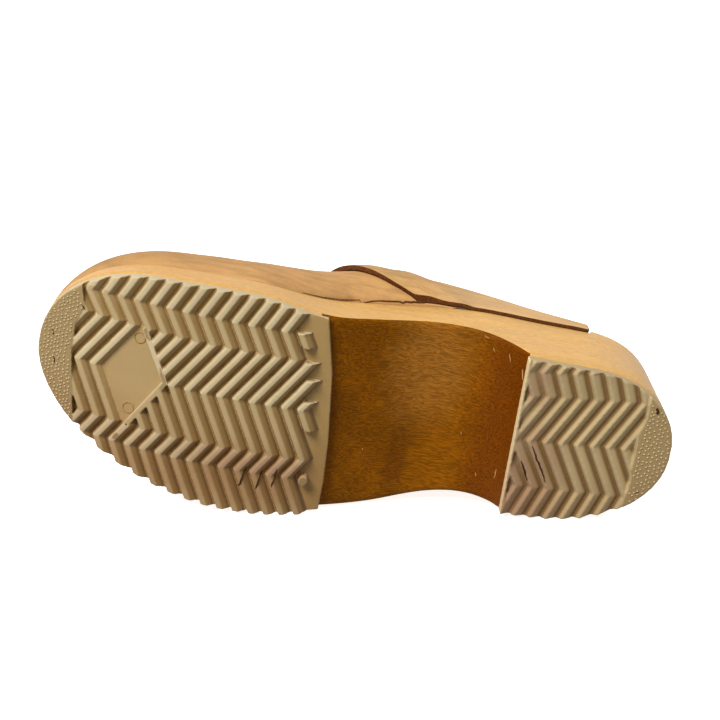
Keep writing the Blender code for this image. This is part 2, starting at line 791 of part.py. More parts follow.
def tread_heel(look):
    plate = ribbed_slab("tread_heel", HEEL_ZIGZAG, HEEL_RIB, *HEEL_SLAB, look)
    combine(plate, prism("heel_pad", HEEL_PAD, -PAD_PROUD, TREAD_THICK - PAD_SUNK), "UNION")
    outline = plan_outline(SEAT_GAP, HEEL_END, HEEL_OUTLINE_TO)
    front = [(HEEL_FRONT + BREAST_SKEW * plan_y(s, HEEL_FRONT, SEAT_GAP), plan_y(s, HEEL_FRONT, SEAT_GAP))
             for s in ("inner", "outer")]
    rim = [(HEEL_FRONT + BREAST_SKEW * y - HEEL_RIM, y) for y in (HEEL_ZIGZAG[0][0], HEEL_ZIGZAG[-1][0])]
    rim += [(HEEL_SLAB[1], HEEL_ZIGZAG[-1][0]), (HEEL_SLAB[1], HEEL_ZIGZAG[0][0])]
    combine(plate, prism("heel_rim", rim, -BAR_PROUD, TREAD_THICK - BAR_SUNK), "UNION")
    half = len(outline) // 2
    tail = (HEEL_END + SEAT_GAP, 0.0)
    outline = [tail] + outline[:half] + front + outline[half:]
    combine(plate, prism("plate_outline", outline, BELOW, ABOVE), "INTERSECT")
    finish(plate, 25.0)
    return plate


def finish(plate, sharp):
    """Cleans a plate after its cuts: doubled points merged, faces outward."""
    shape = bmesh.new()
    shape.from_mesh(plate.data)
    bmesh.ops.remove_doubles(shape, verts=shape.verts, dist=0.00002)
    bmesh.ops.dissolve_degenerate(shape, edges=shape.edges, dist=0.00001)
    bmesh.ops.triangulate(shape, faces=[f for f in shape.faces if len(f.verts) > 4])
    bmesh.ops.recalc_face_normals(shape, faces=shape.faces)
    shape.to_mesh(plate.data)
    shape.free()
    plate.data.shade_smooth()
    plate.data.set_sharp_from_angle(angle=math.radians(sharp))


def centre_of_mass(pieces):
    total = 0.0
    moment = Vector((0.0, 0.0, 0.0))
    for piece in pieces:
        piece.data.calc_loop_triangles()
        points = piece.data.vertices
        for tri in piece.data.loop_triangles:
            a, b, c = (points[i].co for i in tri.vertices)
            weight = a.dot(b.cross(c)) / 6.0 * DENSITY[piece.name]
            total += weight
            moment += weight * (a + b + c) / 4.0
    return moment / total


def resting_plane(pieces):
    """Outer-side plane the clog lies on: the hull face under its centre of mass, facing outwards."""
    centre = centre_of_mass(pieces)
    shape = bmesh.new()
    for piece in pieces:
        for vertex in piece.data.vertices:
            shape.verts.new(vertex.co)
    hull = bmesh.ops.convex_hull(shape, input=shape.verts)
    best = None
    for face in [g for g in hull["geom"] if isinstance(g, bmesh.types.BMFace)]:
        face.normal_update()
        normal = face.normal.copy()
        if normal.dot(face.calc_center_median() - centre) < 0.0:
            normal = -normal
        if normal.y > -0.8:
            continue
        corners = [v.co.copy() for v in face.verts]
        foot = centre + normal * normal.dot(corners[0] - centre)
        signs = []
        for k in range(len(corners)):
            edge = corners[(k + 1) % len(corners)] - corners[k]
            signs.append(edge.cross(foot - corners[k]).dot(normal) > 0.0)
        if all(signs) or not any(signs):
            best = normal
    shape.free()
    return best


def lie_down(pieces):
    """Parents the pieces to an empty that lays the clog on its outer side, sole to -Y and toe to -X."""
    up = -resting_plane(pieces)
    along = Vector((1.0, 0.0, 0.0))
    along = (along - up * along.dot(up)).normalized()
    turn = Matrix((-along, along.cross(up), up))
    low = [min((turn @ v.co)[k] for p in pieces for v in p.data.vertices) for k in range(3)]
    high = [max((turn @ v.co)[k] for p in pieces for v in p.data.vertices) for k in range(3)]
    place = bpy.data.objects.new("lying_on_side", None)
    bpy.context.scene.collection.objects.link(place)
    shift = Vector((-(low[0] + high[0]) / 2.0, -(low[1] + high[1]) / 2.0, -low[2]))
    place.matrix_world = Matrix.Translation(shift) @ turn.to_4x4()
    for piece in pieces:
        piece.parent = place
    return place


def main():
    for old in list(bpy.data.objects):
        bpy.data.objects.remove(old)
    wood = material("wood", (0.66, 0.42, 0.17), 0.5)
    rubber = material("rubber", (0.43, 0.34, 0.2), 0.7)
    heel_rubber = material("heel_rubber", (0.41, 0.32, 0.18), 0.7)
    leather = material("leather", (0.58, 0.32, 0.12), 0.75)
    band_leather = material("band_leather", (0.6, 0.33, 0.12), 0.75)
    pieces = [wood_sole(wood), tread_front(rubber), tread_heel(heel_rubber), vamp(leather),
              instep_band(band_leather)]
    lie_down(pieces)


main()
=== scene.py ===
"""Dresses a packed clog: carved and varnished wood, moulded rubber tread plates and tan leather.

Sizes in millimetres are along the shoe's own axes: X from the heel to the toe, Y to the
inner side of the foot and Z up from the tread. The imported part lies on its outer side.
"""
import json
import math

import bmesh
import bpy
from mathutils import Matrix, Vector, noise
from mathutils.bvhtree import BVHTree


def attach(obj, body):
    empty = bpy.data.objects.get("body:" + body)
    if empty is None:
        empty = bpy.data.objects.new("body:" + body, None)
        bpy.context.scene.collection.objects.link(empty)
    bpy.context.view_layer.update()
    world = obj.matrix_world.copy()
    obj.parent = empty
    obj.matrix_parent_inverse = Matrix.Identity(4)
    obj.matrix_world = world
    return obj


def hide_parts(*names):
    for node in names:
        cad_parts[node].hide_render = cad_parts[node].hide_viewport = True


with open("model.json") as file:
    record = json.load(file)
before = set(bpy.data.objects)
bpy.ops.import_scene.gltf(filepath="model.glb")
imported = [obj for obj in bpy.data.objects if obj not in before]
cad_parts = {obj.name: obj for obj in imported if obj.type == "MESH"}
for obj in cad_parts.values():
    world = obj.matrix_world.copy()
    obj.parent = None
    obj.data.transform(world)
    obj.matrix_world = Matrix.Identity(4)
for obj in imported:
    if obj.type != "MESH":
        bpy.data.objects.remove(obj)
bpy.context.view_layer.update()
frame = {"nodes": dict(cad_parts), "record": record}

bl_info = {
    "name": "Wooden clog",
    "version": (1, 0, 0),
    "blender": (4, 5, 0),
    "location": "View3D > Sidebar > Clog",
    "description": "Dresses the solids of a wooden clog and sets up its studio picture",
    "category": "Object",
}


def srgb(red, green, blue):
    """Linear colour from the 0 to 255 values of a screen."""
    def linear(value):
        share = value / 255.0
        return share / 12.92 if share <= 0.04045 else ((share + 0.055) / 1.055) ** 2.4
    return (linear(red), linear(green), linear(blue))


MM = 0.001

# Places and sizes below are in the shoe's own millimetres unless a comment says otherwise

# Point on the heel pad that the record's mount names
HEEL_PAD_SPOT = Vector((5.5, 0.0, -0.15))

# Ground line of the front plate: flat under the ball, toe spring before it, a little lift behind it
BALL_X = 160.0
TOE_RISE = 15.0
TOE_RUN = 92.5
REAR_RISE = 2.0
REAR_RUN = 30.0
# The front plate lies ahead of this station, and the heel plate behind it has level crests
FRONT_PLATE_FROM = 100.0

# Varnished part of the underside along the shoe, and the shorter one of the chamfer on its inner side
ARCH_REACH = (56.0, 158.0)
CHAMFER_REACH = (61.5, 142.5)
# Normals of the wood: Z of the underside is below the first value, Y of the inner chamfer above the second
UNDERSIDE_Z = -0.3
INNER_SIDE_Y = 0.4

# Edges sharper than an angle are creased by a share before smoothing
WOOD_SHARP = math.radians(30.0)
WOOD_CREASE = 0.75
LEATHER_SHARP = math.radians(32.0)
LEATHER_CREASE = 0.7
SMOOTH_LEVELS = 2
# Largest angles, in radians, of triangles joined to a quad: between them, and off its square corners
QUAD_FACE_ANGLE = 0.6
QUAD_CORNER_ANGLE = 1.4
# Loose triangles are joined where their corners are this close, in metres
SAME_POINT = 0.000001
# Order of the leather's materials on its mesh
GRAIN_SIDE, FLESH_SIDE, RAW_EDGE = range(3)
# The leather's largest regions of faces are its sides, and all others are cut edges
LEATHER_SIDES = 2

# Height under the shoe from which surfaces are looked for, in metres
LOOK_FROM = -0.02
# Normals of the rubber: a wall's Z is below the first value, and a front wall's X is above the second
WALL_Z = 0.5
FRONT_X = 0.7
# A rib's slope begins below this Z of the normal and is full after a further span
SLOPE_FROM_Z = 0.92
SLOPE_SPAN_Z = 0.2
# Beyond this distance from an outer wall nothing of its plate follows
WALL_CLEARANCE = 0.5
# Only walls ahead of this station belong to the heel plate's pale front, which is painted light
HEEL_FRONT = 50.0
# Flat pads stand this far proud of the rib crests
PAD_PROUD = 0.15
# A point is on a pad above this share of that height, where the Z of its normal is below the second value
PAD_SHARE = 0.2
PAD_Z = -0.9

# Lattices of the pads' dots: corner in plan, rows and columns
TOE_LATTICE = ((232.0, -52.0), 18, 62)
HEEL_LATTICE = ((-1.0, -36.0), 10, 38)
# Distance of the rows and stray of the dots, as shares of the pitch
ROW_SHARE = 0.87
STRAY_SHARE = 0.6
# Layers of the noise that moves the dots along and across the shoe
STRAY_LAYERS = (3.0, 7.0)
# A dot is kept where the pad round it is level within this height
PAD_LEVEL = 0.12
# Middles of the mould rings in plan
MOULD_RINGS = [(212.1, 10.4), (213.2, -19.7)]

# Cuts, slits and scuffs: start and end in plan and half thickness
# The first three front cuts are drawn wide: each is a cut with its painted shadow
FRONT_CUTS_AND_SHADOWS = [
    ((163.1, -33.6), (165.2, -42.9), 0.48),
    ((156.7, -34.1), (158.3, -42.2), 0.45),
    ((151.1, -32.0), (152.0, -40.5), 0.42),
    ((247.1, 5.4), (246.0, 3.1), 0.34),
    ((245.3, -5.7), (244.4, -8.4), 0.34),
    ((236.0, 18.5), (234.6, 17.0), 0.34),
    ((213.0, -26.3), (212.6, -25.7), 0.4),
]
HEEL_CUTS = [
    ((54.0, -3.8), (44.8, -18.6), 0.42),
    ((56.6, -10.8), (52.0, -19.2), 0.5),
    ((9.4, 20.9), (8.9, 18.2), 0.75),
    ((8.6, -16.6), (7.2, -15.4), 0.3),
]
SCUFFS = [
    ((68.4, 27.7), (67.6, 24.3), 0.2),
    ((63.2, 24.4), (62.3, 20.1), 0.36),
    ((63.4, -20.9), (63.1, -25.4), 0.26),
    ((79.2, -11.4), (78.8, -13.0), 0.2),
    ((70.3, -27.0), (69.5, -28.5), 0.2),
    ((118.1, -23.6), (117.5, -25.0), 0.2),
    ((78.7, 31.5), (77.0, 30.2), 0.18),
    ((74.5, 27.6), (73.6, 26.0), 0.2),
]
# Strokes are laid in steps, at least so many, and sway to the side by a noise of this scale
STROKE_STEP = 0.45
STROKE_STEPS = 4
STROKE_SWAY = 0.35
STROKE_NOISE = 0.7
# Each thickness has its own layer of that noise
STROKE_LAYER = 9.0
# Share of the thickness at a stroke's tips, and how soon it fills out between them
STROKE_TIP = 0.25
STROKE_FILL = 0.6
# Share of the thickness where a stroke is straight, and what is added where it strays
STROKE_BODY = 0.8
STROKE_SWELL = 0.5

# Stretch of the vamp's lower edge along the shoe that shows a dark line of painted shadow, and its steps
LOWER_EDGE = (153.0, 103.0)
LOWER_EDGE_STEPS = 45
# The edge is looked for upwards from a height, in small climbs, from beside the inner side
LOWER_EDGE_FROM = 15.0
LOWER_EDGE_CLIMB = 0.1
LOWER_EDGE_BESIDE = 70.0
# The line stands proud of the leather, and its half thickness grows away from the toe
LOWER_EDGE_PROUD = Vector((0.0, 0.4, 0.1))
LOWER_EDGE_THIN = 0.08
LOWER_EDGE_GROWTH = 0.34

# Stretches across the shoe where the front ribs' crests get painted shade
SHADED_CREST_STRETCHES = [(14.6, 25.2), (-27.0, -6.0), (-62.0, -35.7)]
# Ahead of a station the ribs' corners drift to the inner side, by a share of the way
DRIFT_FROM = 190.9
DRIFT = 0.045
# Worn patches of each plate: centre, reach and strength
WORN_PATCHES = {
    "rubber_front": [
        ((160.0, -38.0, 0.0), (42.0, 20.0, 14.0), 0.75),
        ((210.0, -44.0, 5.0), (40.0, 12.0, 14.0), 0.5),
    ],
    "rubber_heel": [
        ((53.0, -18.0, 0.0), (20.0, 36.0, 12.0), 0.75),
        ((56.0, 22.0, 0.0), (9.0, 14.0, 12.0), 0.6),
        ((30.0, 33.0, 0.0), (30.0, 4.0, 8.0), 0.5),
    ],
}

# Soft spots of single materials: centre and reach
TOE_SHADE = ((222.0, 25.0, 45.0), (55.0, 45.0, 45.0))
# ARCH_SHEEN is a spot of painted sheen on the arch's varnish
ARCH_SHEEN = ((98.0, 14.0, 20.0), (24.0, 36.0, 20.0))
ARCH_STAIN = ((103.5, -28.0, 20.0), (7.0, 22.0, 20.0))
DIAMOND = ((212.4, -6.2, 6.0), (15.0, 25.0, 12.0))
# Stretches along the shoe over which a tone comes in
FADED_BAND = (112.0, 66.0)
HONEY_TOE = (130.0, 200.0)
DARK_BREAST = (84.0, 68.0)
# The heel's dirt and painted shade grow in over this stretch
HEEL_DIRT_AND_SHADE = (61.0, 50.0)
# Stretch across the shoe over which the rubber turns browner
DUSTY_SIDE = (-2.0, -38.0)
# Tones of those spots and stretches, the last one a factor
FADED_LEATHER = srgb(198, 164, 122)
HONEY_WOOD = srgb(178, 130, 62)
# Tone of the painted sheen on the arch
SHEEN_WOOD = srgb(132, 87, 32)
BREAST_WOOD = srgb(88, 41, 2)
STAIN_WOOD = srgb(82, 42, 4)
OUTER_DUST = (0.84, 0.76, 0.73)

# Lights of the studio: name, place and disc size in metres, and power in watts
LIGHTS = [
    ("key", (-1.2, -1.9, 1.95), 1.2, 130.0),
    ("fill", (1.9, -1.2, 1.9), 1.2, 10.0),
]
# Point that the lights face, in metres
LIGHT_AIM = Vector((0.0, 0.0, 0.04))
# Brightness of the surroundings and of the floor's own glow, and steps of the backdrop's curve
WORLD_STRENGTH = 0.35
FLOOR_GLOW = 0.8
CURVE_STEPS = 12
WHITE = (1.0, 1.0, 1.0, 1.0)

# Kinds of node sockets
FLOAT = "NodeSocketFloat"
VECTOR = "NodeSocketVector"


def shoe_to_row():
    """Matrix from the shoe's own axes to the row's, read from the heel pad's mount."""
    mount = next(m for m in frame["record"]["mounts"] if m["name"] == "heel_pad")
    shoe_up = -Vector(mount["axis"]).normalized()
    lean = shoe_up.x / shoe_up.z
    floor_x = lean / math.sqrt(1.0 + lean * lean)
    floor_up = Vector((floor_x, math.sqrt(1.0 - floor_x ** 2 - shoe_up.z ** 2), shoe_up.z))
    along = (Vector((1.0, 0.0, 0.0)) - floor_up * floor_x).normalized()
    turn = Matrix((-along, along.cross(floor_up), floor_up))
    place = turn.to_4x4()
    place.translation = Vector(mount["pos_m"]) - turn @ (HEEL_PAD_SPOT * MM)
    return place


TO_ROW = shoe_to_row()
TO_SHOE = TO_ROW.inverted()


def ground_z(x):
    """Height of the plates' rib crests at a station along the shoe."""
    if x > BALL_X:
        return TOE_RISE * ((x - BALL_X) / TOE_RUN) ** 2
    if x > FRONT_PLATE_FROM:
        return REAR_RISE * ((BALL_X - x) / REAR_RUN) ** 2
    return 0.0


def colour_setting(name, description, value):
    """Colour that the panel shows."""
    return bpy.props.FloatVectorProperty(name=name, description=description, subtype="COLOR", default=value)


def length_setting(name, description, metres):
    """Length that the panel shows."""
    return bpy.props.FloatProperty(name=name, description=description, unit="LENGTH", default=metres)


class ClogColours(bpy.types.PropertyGroup):
    """Colours of the clog's materials."""

    leather: colour_setting("Vamp leather", "Tan leather of the vamp", srgb(172, 130, 80))
    band: colour_setting("Band leather", "Tan leather of the instep band", srgb(176, 136, 85))
    # The raw edge colour also paints the shadow line under the vamp's lower edge
    raw_edge_and_shadow: colour_setting("Raw edge", "Cut edge of the leather", srgb(82, 47, 19))
    flesh: colour_setting("Flesh side", "Rough inner side of the leather", srgb(178, 132, 88))
    wood_side: colour_setting("Side wood", "Sanded wood of the sole's side", srgb(194, 150, 86))
    wood_arch: colour_setting("Arch wood", "Dark varnish under the arch", srgb(112, 64, 2))
    rubber: colour_setting("Front rubber", "Rubber of the front plate", srgb(176, 159, 124))
    heel_rubber: colour_setting("Heel rubber", "Rubber of the heel plate", srgb(162, 142, 104))
    # Slope dirt and groove dirt darken the ribs with depth: dirt and painted shade
    groove: colour_setting("Slope dirt", "Olive dirt on the slopes of the ribs", srgb(148, 117, 66))
    deep: colour_setting("Groove dirt", "Darker dirt at the foot of the ribs", srgb(96, 70, 36))
    # Painted light: the heel plate's front wall is painted pale
    painted_light_heel_front: colour_setting("Heel front", "Pale cut front of the heel plate", srgb(222, 198, 150))
    pad: colour_setting("Pads", "Duller rubber of the dotted pads", srgb(139, 116, 78))
    dots: colour_setting("Dots", "Pale rubbed tops of the pads' dots", srgb(178, 156, 118))
    worn: colour_setting("Worn rubber", "Pinkish rubber where the ribs are worn", srgb(146, 114, 88))
    cut: colour_setting("Cuts", "Dark cuts, slits and nail holes", srgb(58, 34, 18))
    scuff: colour_setting("Scuffs", "Pale scuffs in the varnish", srgb(176, 132, 76))
    floor: colour_setting("Floor", "Pale studio floor", (0.93, 0.93, 0.93))


class ClogSizes(bpy.types.PropertyGroup):
    """Sizes of the clog's finer forms."""

    front_grain: length_setting("Front faces", "Size of the front plate's rebuilt faces", 0.00033)
    front_keep: bpy.props.FloatProperty(
        name="Front share kept", description="Share of the front plate's faces kept after thinning",
        default=0.28, subtype="FACTOR", min=0.0, max=1.0)
    front_wear: bpy.props.IntProperty(
        name="Front wear", description="Smoothing passes that round the front plate's ribs", default=1)
    heel_grain: length_setting("Heel faces", "Size of the heel plate's rebuilt faces", 0.00045)
    heel_wear: bpy.props.IntProperty(
        name="Heel wear", description="Smoothing passes that round the heel plate's ribs", default=5)
    toe_pitch: length_setting("Toe dot pitch", "Distance between the toe pad's dots", 0.0017)
    toe_dot: length_setting("Toe dot radius", "Radius of a dot on the toe pad", 0.00046)
    heel_pitch: length_setting("Heel dot pitch", "Distance between the heel pad's dots", 0.002)
    heel_dot: length_setting("Heel dot radius", "Radius of a dot on the heel pad", 0.00044)
    ring_radius: length_setting("Ring radius", "Radius of the mould rings on the diamond pad", 0.0022)
    ring_wire: length_setting("Ring thickness", "Half thickness of a mould ring", 0.0003)
    lens: bpy.props.FloatProperty(
        name="Lens", description="Focal length of the camera", default=65.73, subtype="DISTANCE_CAMERA")


class Pen:
    """Short hand for drawing one node tree."""

    def __init__(self, tree):
        self.tree = tree

    def put(self, socket, value):
        """Links a socket to another one or gives it a constant."""
        if isinstance(value, bpy.types.NodeSocket):
            self.tree.links.new(value, socket)
        elif hasattr(value, "__len__") and len(value) == 3 and socket.type == "RGBA":
            socket.default_value = (*value, 1.0)
        else:
            socket.default_value = value

    def add(self, kind, inputs=(), **settings):
        """New node with its settings and inputs."""
        made = self.tree.nodes.new(kind)
        for name, value in settings.items():
            setattr(made, name, value)
        for key, value in dict(inputs).items():
            self.put(made.inputs[key], value)
        return made

    def math(self, operation, first, second=0.0, third=0.0):
        """Result of an operation on values."""
        made = self.add("ShaderNodeMath", operation=operation)
        for socket, value in zip(made.inputs, (first, second, third)):
            self.put(socket, value)
        return made.outputs[0]

    def times(self, first, second):
        return self.math("MULTIPLY", first, second)

    def vector(self, operation, first, second=(0.0, 0.0, 0.0)):
        """Result of an operation on vectors."""
        made = self.add("ShaderNodeVectorMath", {0: first, 1: second}, operation=operation)
        return made.outputs["Value" if operation in ("DOT_PRODUCT", "LENGTH") else "Vector"]

    def between(self, value, low, high, start=0.0, end=1.0):
        """Smooth step of a value from start at low to end at high."""
        inputs = {"Value": value, "From Min": low, "From Max": high, "To Min": start, "To Max": end}
        return self.add("ShaderNodeMapRange", inputs, interpolation_type="SMOOTHSTEP").outputs["Result"]

    def mix(self, factor, first, second, blend="MIX"):
        """Colour between two colours."""
        made = self.add("ShaderNodeMix", data_type="RGBA", blend_type=blend)
        for index, value in ((0, factor), (6, first), (7, second)):
            self.put(made.inputs[index], value)
        return made.outputs[2]

    def noise(self, place, scale, detail=3.0, rough=0.55):
        """Value of a cloudy noise."""
        inputs = {"Vector": place, "Scale": scale, "Detail": detail, "Roughness": rough}
        return self.add("ShaderNodeTexNoise", inputs).outputs["Fac"]

    def group(self, name, **inputs):
        """Node of a shader group, with underscores for the spaces in its inputs' names."""
        made = self.add("ShaderNodeGroup", node_tree=bpy.data.node_groups[name])
        for key, value in inputs.items():
            self.put(made.inputs[key.replace("_", " ")], value)
        return made

    def streaks(self, place, **inputs):
        """Value of long streaks."""
        return self.group("streaks", Place=place, **inputs).outputs["Value"]

    def spot(self, place, centre, reach, **inputs):
        """Mask of a soft spot."""
        return self.group("soft_spot", Place=place, Centre=centre, Reach=reach, **inputs).outputs["Mask"]

    def mark(self, name):
        """Value that a mesh's points carry under a name."""
        return self.add("ShaderNodeAttribute", attribute_name=name).outputs["Fac"]


def new_tree(name, kind, inputs, outputs):
    """Empty node tree with named sockets, some with defaults: its pen, what it is given and its results."""
    tree = bpy.data.node_groups.new(name, kind)
    for label, socket_type, *default in inputs:
        socket = tree.interface.new_socket(label, in_out="INPUT", socket_type=socket_type)
        for value in default:
            socket.default_value = value
    for label, socket_type in outputs:
        tree.interface.new_socket(label, in_out="OUTPUT", socket_type=socket_type)
    pen = Pen(tree)
    return pen, pen.add("NodeGroupInput").outputs, pen.add("NodeGroupOutput").inputs


def shoe_axes_group():
    """Place on the shoe, in its own millimetres, from the Object coordinates."""
    pen, _, result = new_tree("shoe_axes", "ShaderNodeTree", [],
                              [("Place", VECTOR), ("X", FLOAT), ("Y", FLOAT), ("Z", FLOAT)])
    here = pen.add("ShaderNodeTexCoord").outputs["Object"]
    offset = pen.vector("SUBTRACT", here, tuple(TO_ROW.translation))
    turn = TO_ROW.to_3x3()
    values = [pen.vector("DOT_PRODUCT", offset, tuple(turn.col[k] / MM)) for k in range(3)]
    joined = pen.add("ShaderNodeCombineXYZ", dict(enumerate(values))).outputs[0]
    pen.put(result["Place"], joined)
    for label, value in zip("XYZ", values):
        pen.put(result[label], value)


def soft_spot_group():
    """Mask of a soft-edged ellipsoid: 1 in its middle and 0 from its edge outwards."""
    pen, given, result = new_tree(
        "soft_spot", "ShaderNodeTree",
        [("Place", VECTOR), ("Centre", VECTOR), ("Reach", VECTOR), ("Ragged", FLOAT, 0.3)], [("Mask", FLOAT)])
    offset = pen.vector("DIVIDE", pen.vector("SUBTRACT", given["Place"], given["Centre"]), given["Reach"])
    edge = pen.math("SUBTRACT", pen.noise(given["Place"], scale=0.18), 0.5)
    far = pen.math("MULTIPLY_ADD", edge, given["Ragged"], pen.vector("LENGTH", offset))
    pen.put(result["Mask"], pen.between(far, 1.0, 0.25))


def streak_group():
    """Long streaks that wander: a stretched noise on a bent place."""
    pen, given, result = new_tree(
        "streaks", "ShaderNodeTree",
        [("Place", VECTOR), ("Stretch", VECTOR), ("Wander", FLOAT), ("Wander Scale", FLOAT, 0.03),
         ("Detail", FLOAT, 4.0)], [("Value", FLOAT)])
    inputs = {"Vector": given["Place"], "Scale": given["Wander Scale"], "Detail": 2.0}
    bend = pen.add("ShaderNodeTexNoise", inputs).outputs["Color"]
    shift = pen.vector("SUBTRACT", bend, (0.5, 0.5, 0.5))
    scaled = pen.add("ShaderNodeVectorMath", {0: shift, "Scale": given["Wander"]}, operation="SCALE")
    bent = pen.vector("ADD", given["Place"], scaled.outputs[0])
    stretched = pen.vector("MULTIPLY", bent, given["Stretch"])
    value = pen.noise(stretched, scale=1.0, detail=given["Detail"], rough=0.6)
    pen.put(result["Value"], value)


def new_material(name):
    """Material with a Principled shader, and a pen for its tree."""
    made = bpy.data.materials.new(name)
    made.use_nodes = True
    return made, Pen(made.node_tree)


def principled(pen):
    """Shader of a material."""
    return pen.tree.nodes["Principled BSDF"]


def dress(pen, base, roughness, gleam=0.5):
    """Gives a material's shader its colour, its roughness and the strength of its reflections."""
    inputs = principled(pen).inputs
    pen.put(inputs["Base Color"], base)
    pen.put(inputs["Roughness"], roughness)
    pen.put(inputs["Specular IOR Level"], gleam)


def add_bump(pen, height, depth, strength):
    """Fine relief of a material from a mask of heights, with its depth in millimetres."""
    bump = pen.add("ShaderNodeBump", {"Height": height, "Distance": depth * MM, "Strength": strength})
    pen.put(principled(pen).inputs["Normal"], bump.outputs["Normal"])


def tinted(colour, share):
    """Colour made darker or lighter by a share."""
    return tuple(min(1.0, channel * share) for channel in colour)


def flecked(pen, base, value, colour, dark, pale):
    """Base with dark and pale flecks: values where each starts and is full, its strength and its tint."""
    for start, full, strength, tint in (dark, pale):
        base = pen.mix(pen.between(value, start, full, 0.0, strength), base, tinted(colour, tint))
    return base


def leather_material(name, colour):
    """Matt oiled nubuck: drifting tone, long soft streaks, a fine nap and painted shade at the toe."""
    made, pen = new_material(name)
    axes = pen.group("shoe_axes").outputs
    place = axes["Place"]
    streak = pen.streaks(place, Stretch=(0.018, 0.11, 0.11), Wander=14.0)
    cloud = pen.noise(place, scale=0.055, detail=4.0, rough=0.6)
    tone = pen.between(pen.math("ADD", streak, cloud), 0.7, 1.3)
    base = pen.mix(tone, tinted(colour, 0.76), tinted(colour, 1.17))
    wisp = pen.streaks(place, Stretch=(0.05, 0.4, 0.4), Wander=8.0)
    base = flecked(pen, base, wisp, colour, (0.5, 0.68, 0.55, 0.66), (0.46, 0.32, 0.45, 1.28))
    # Painted shade darkens the vamp towards the toe
    base = pen.mix(pen.times(pen.spot(place, *TOE_SHADE), 0.45), base, tinted(colour, 0.62))
    base = pen.mix(pen.between(axes["X"], *FADED_BAND, 0.0, 0.5), base, FADED_LEATHER)
    nap = pen.noise(place, scale=1.7, detail=3.0, rough=0.65)
    base = flecked(pen, base, nap, colour, (0.56, 0.76, 0.5, 0.58), (0.44, 0.28, 0.4, 1.35))
    dress(pen, base, roughness=pen.between(cloud, 0.3, 0.7, 0.62, 0.82), gleam=0.15)
    fine = pen.math("MULTIPLY_ADD", nap, 0.5, pen.noise(place, scale=0.5, detail=4.0))
    add_bump(pen, fine, depth=0.25, strength=0.5)
    return made


def raw_edge_and_shadow_material(name, colour):
    """Dark burnished cut edge of the leather, with fibres, also used for the painted shadow line under the
    vamp's lower edge.
    """
    made, pen = new_material(name)
    place = pen.group("shoe_axes").outputs["Place"]
    fibre = pen.noise(place, scale=0.9, detail=4.0, rough=0.7)
    base = pen.mix(pen.between(fibre, 0.3, 0.75), tinted(colour, 0.7), tinted(colour, 1.55))
    dress(pen, base, roughness=0.8, gleam=0.08)
    add_bump(pen, fibre, depth=0.3, strength=0.6)
    return made


def flesh_material(colour):
    """Rough flesh side of the leather."""
    made, pen = new_material("leather_flesh")
    place = pen.group("shoe_axes").outputs["Place"]
    fibre = pen.noise(place, scale=0.8, detail=5.0, rough=0.7)
    dress(pen, pen.mix(fibre, tinted(colour, 0.75), tinted(colour, 1.15)), roughness=0.9)
    add_bump(pen, fibre, depth=0.4, strength=0.6)
    return made


def wood_side_material(colour):
    """Pale sanded wood with long grain and fine dark pores."""
    made, pen = new_material("wood_side")
    axes = pen.group("shoe_axes").outputs
    place = axes["Place"]
    grain = pen.streaks(place, Stretch=(0.012, 0.25, 0.25), Wander=9.0)
    pores = pen.streaks(place, Stretch=(0.35, 1.9, 1.9), Wander=1.5, Detail=3.0)
    base = pen.mix(pen.between(grain, 0.3, 0.7), tinted(colour, 0.9), tinted(colour, 1.06))
    base = pen.mix(pen.between(axes["X"], *HONEY_TOE, 0.0, 0.6), base, HONEY_WOOD)
    base = flecked(pen, base, pores, colour, (0.5, 0.68, 0.5, 0.6), (0.47, 0.32, 0.4, 1.3))
    dress(pen, base, roughness=pen.between(grain, 0.3, 0.7, 0.42, 0.56), gleam=0.2)
    add_bump(pen, pores, depth=0.12, strength=0.4)
    return made


def wood_arch_material(colour):
    """Dark varnish over short wavy fibres, with a painted sheen, a stain and darker wood at the breast."""
    made, pen = new_material("wood_arch")
    axes = pen.group("shoe_axes").outputs
    place = axes["Place"]
    fibre = pen.streaks(place, Stretch=(0.16, 2.5, 1.6), Wander=5.0, Wander_Scale=0.1, Detail=2.0)
    cloud = pen.noise(place, scale=0.035)
    base = pen.mix(pen.between(cloud, 0.35, 0.65), tinted(colour, 0.8), tinted(colour, 1.2))
    # The first spot is painted sheen
    for mask, strength, tone in (
            (pen.spot(place, *ARCH_SHEEN, Ragged=0.5), 0.6, SHEEN_WOOD),
            (pen.between(axes["X"], *DARK_BREAST), 0.85, BREAST_WOOD),
            (pen.spot(place, *ARCH_STAIN, Ragged=0.5), 0.5, STAIN_WOOD)):
        base = pen.mix(pen.times(mask, strength), base, tone)
    base = pen.mix(1.0, base, pen.between(fibre, 0.36, 0.66, 0.74, 1.5), "MULTIPLY")
    dress(pen, base, roughness=pen.between(fibre, 0.3, 0.7, 0.34, 0.52), gleam=0.03)
    add_bump(pen, fibre, depth=0.15, strength=0.4)
    return made


def groove_depth(pen, axes, front):
    """Depth below the rib crests, in millimetres."""
    if not front:
        return axes["Z"]
    ahead = pen.math("SUBTRACT", axes["X"], BALL_X)
    toe_rate = TOE_RISE / TOE_RUN ** 2
    rear_rate = REAR_RISE / REAR_RUN ** 2
    at_toe = pen.math("GREATER_THAN", ahead, 0.0)
    rate = pen.math("MULTIPLY_ADD", at_toe, toe_rate - rear_rate, rear_rate)
    rise = pen.times(pen.times(ahead, ahead), rate)
    return pen.math("MULTIPLY_ADD", rise, -1.0, axes["Z"])


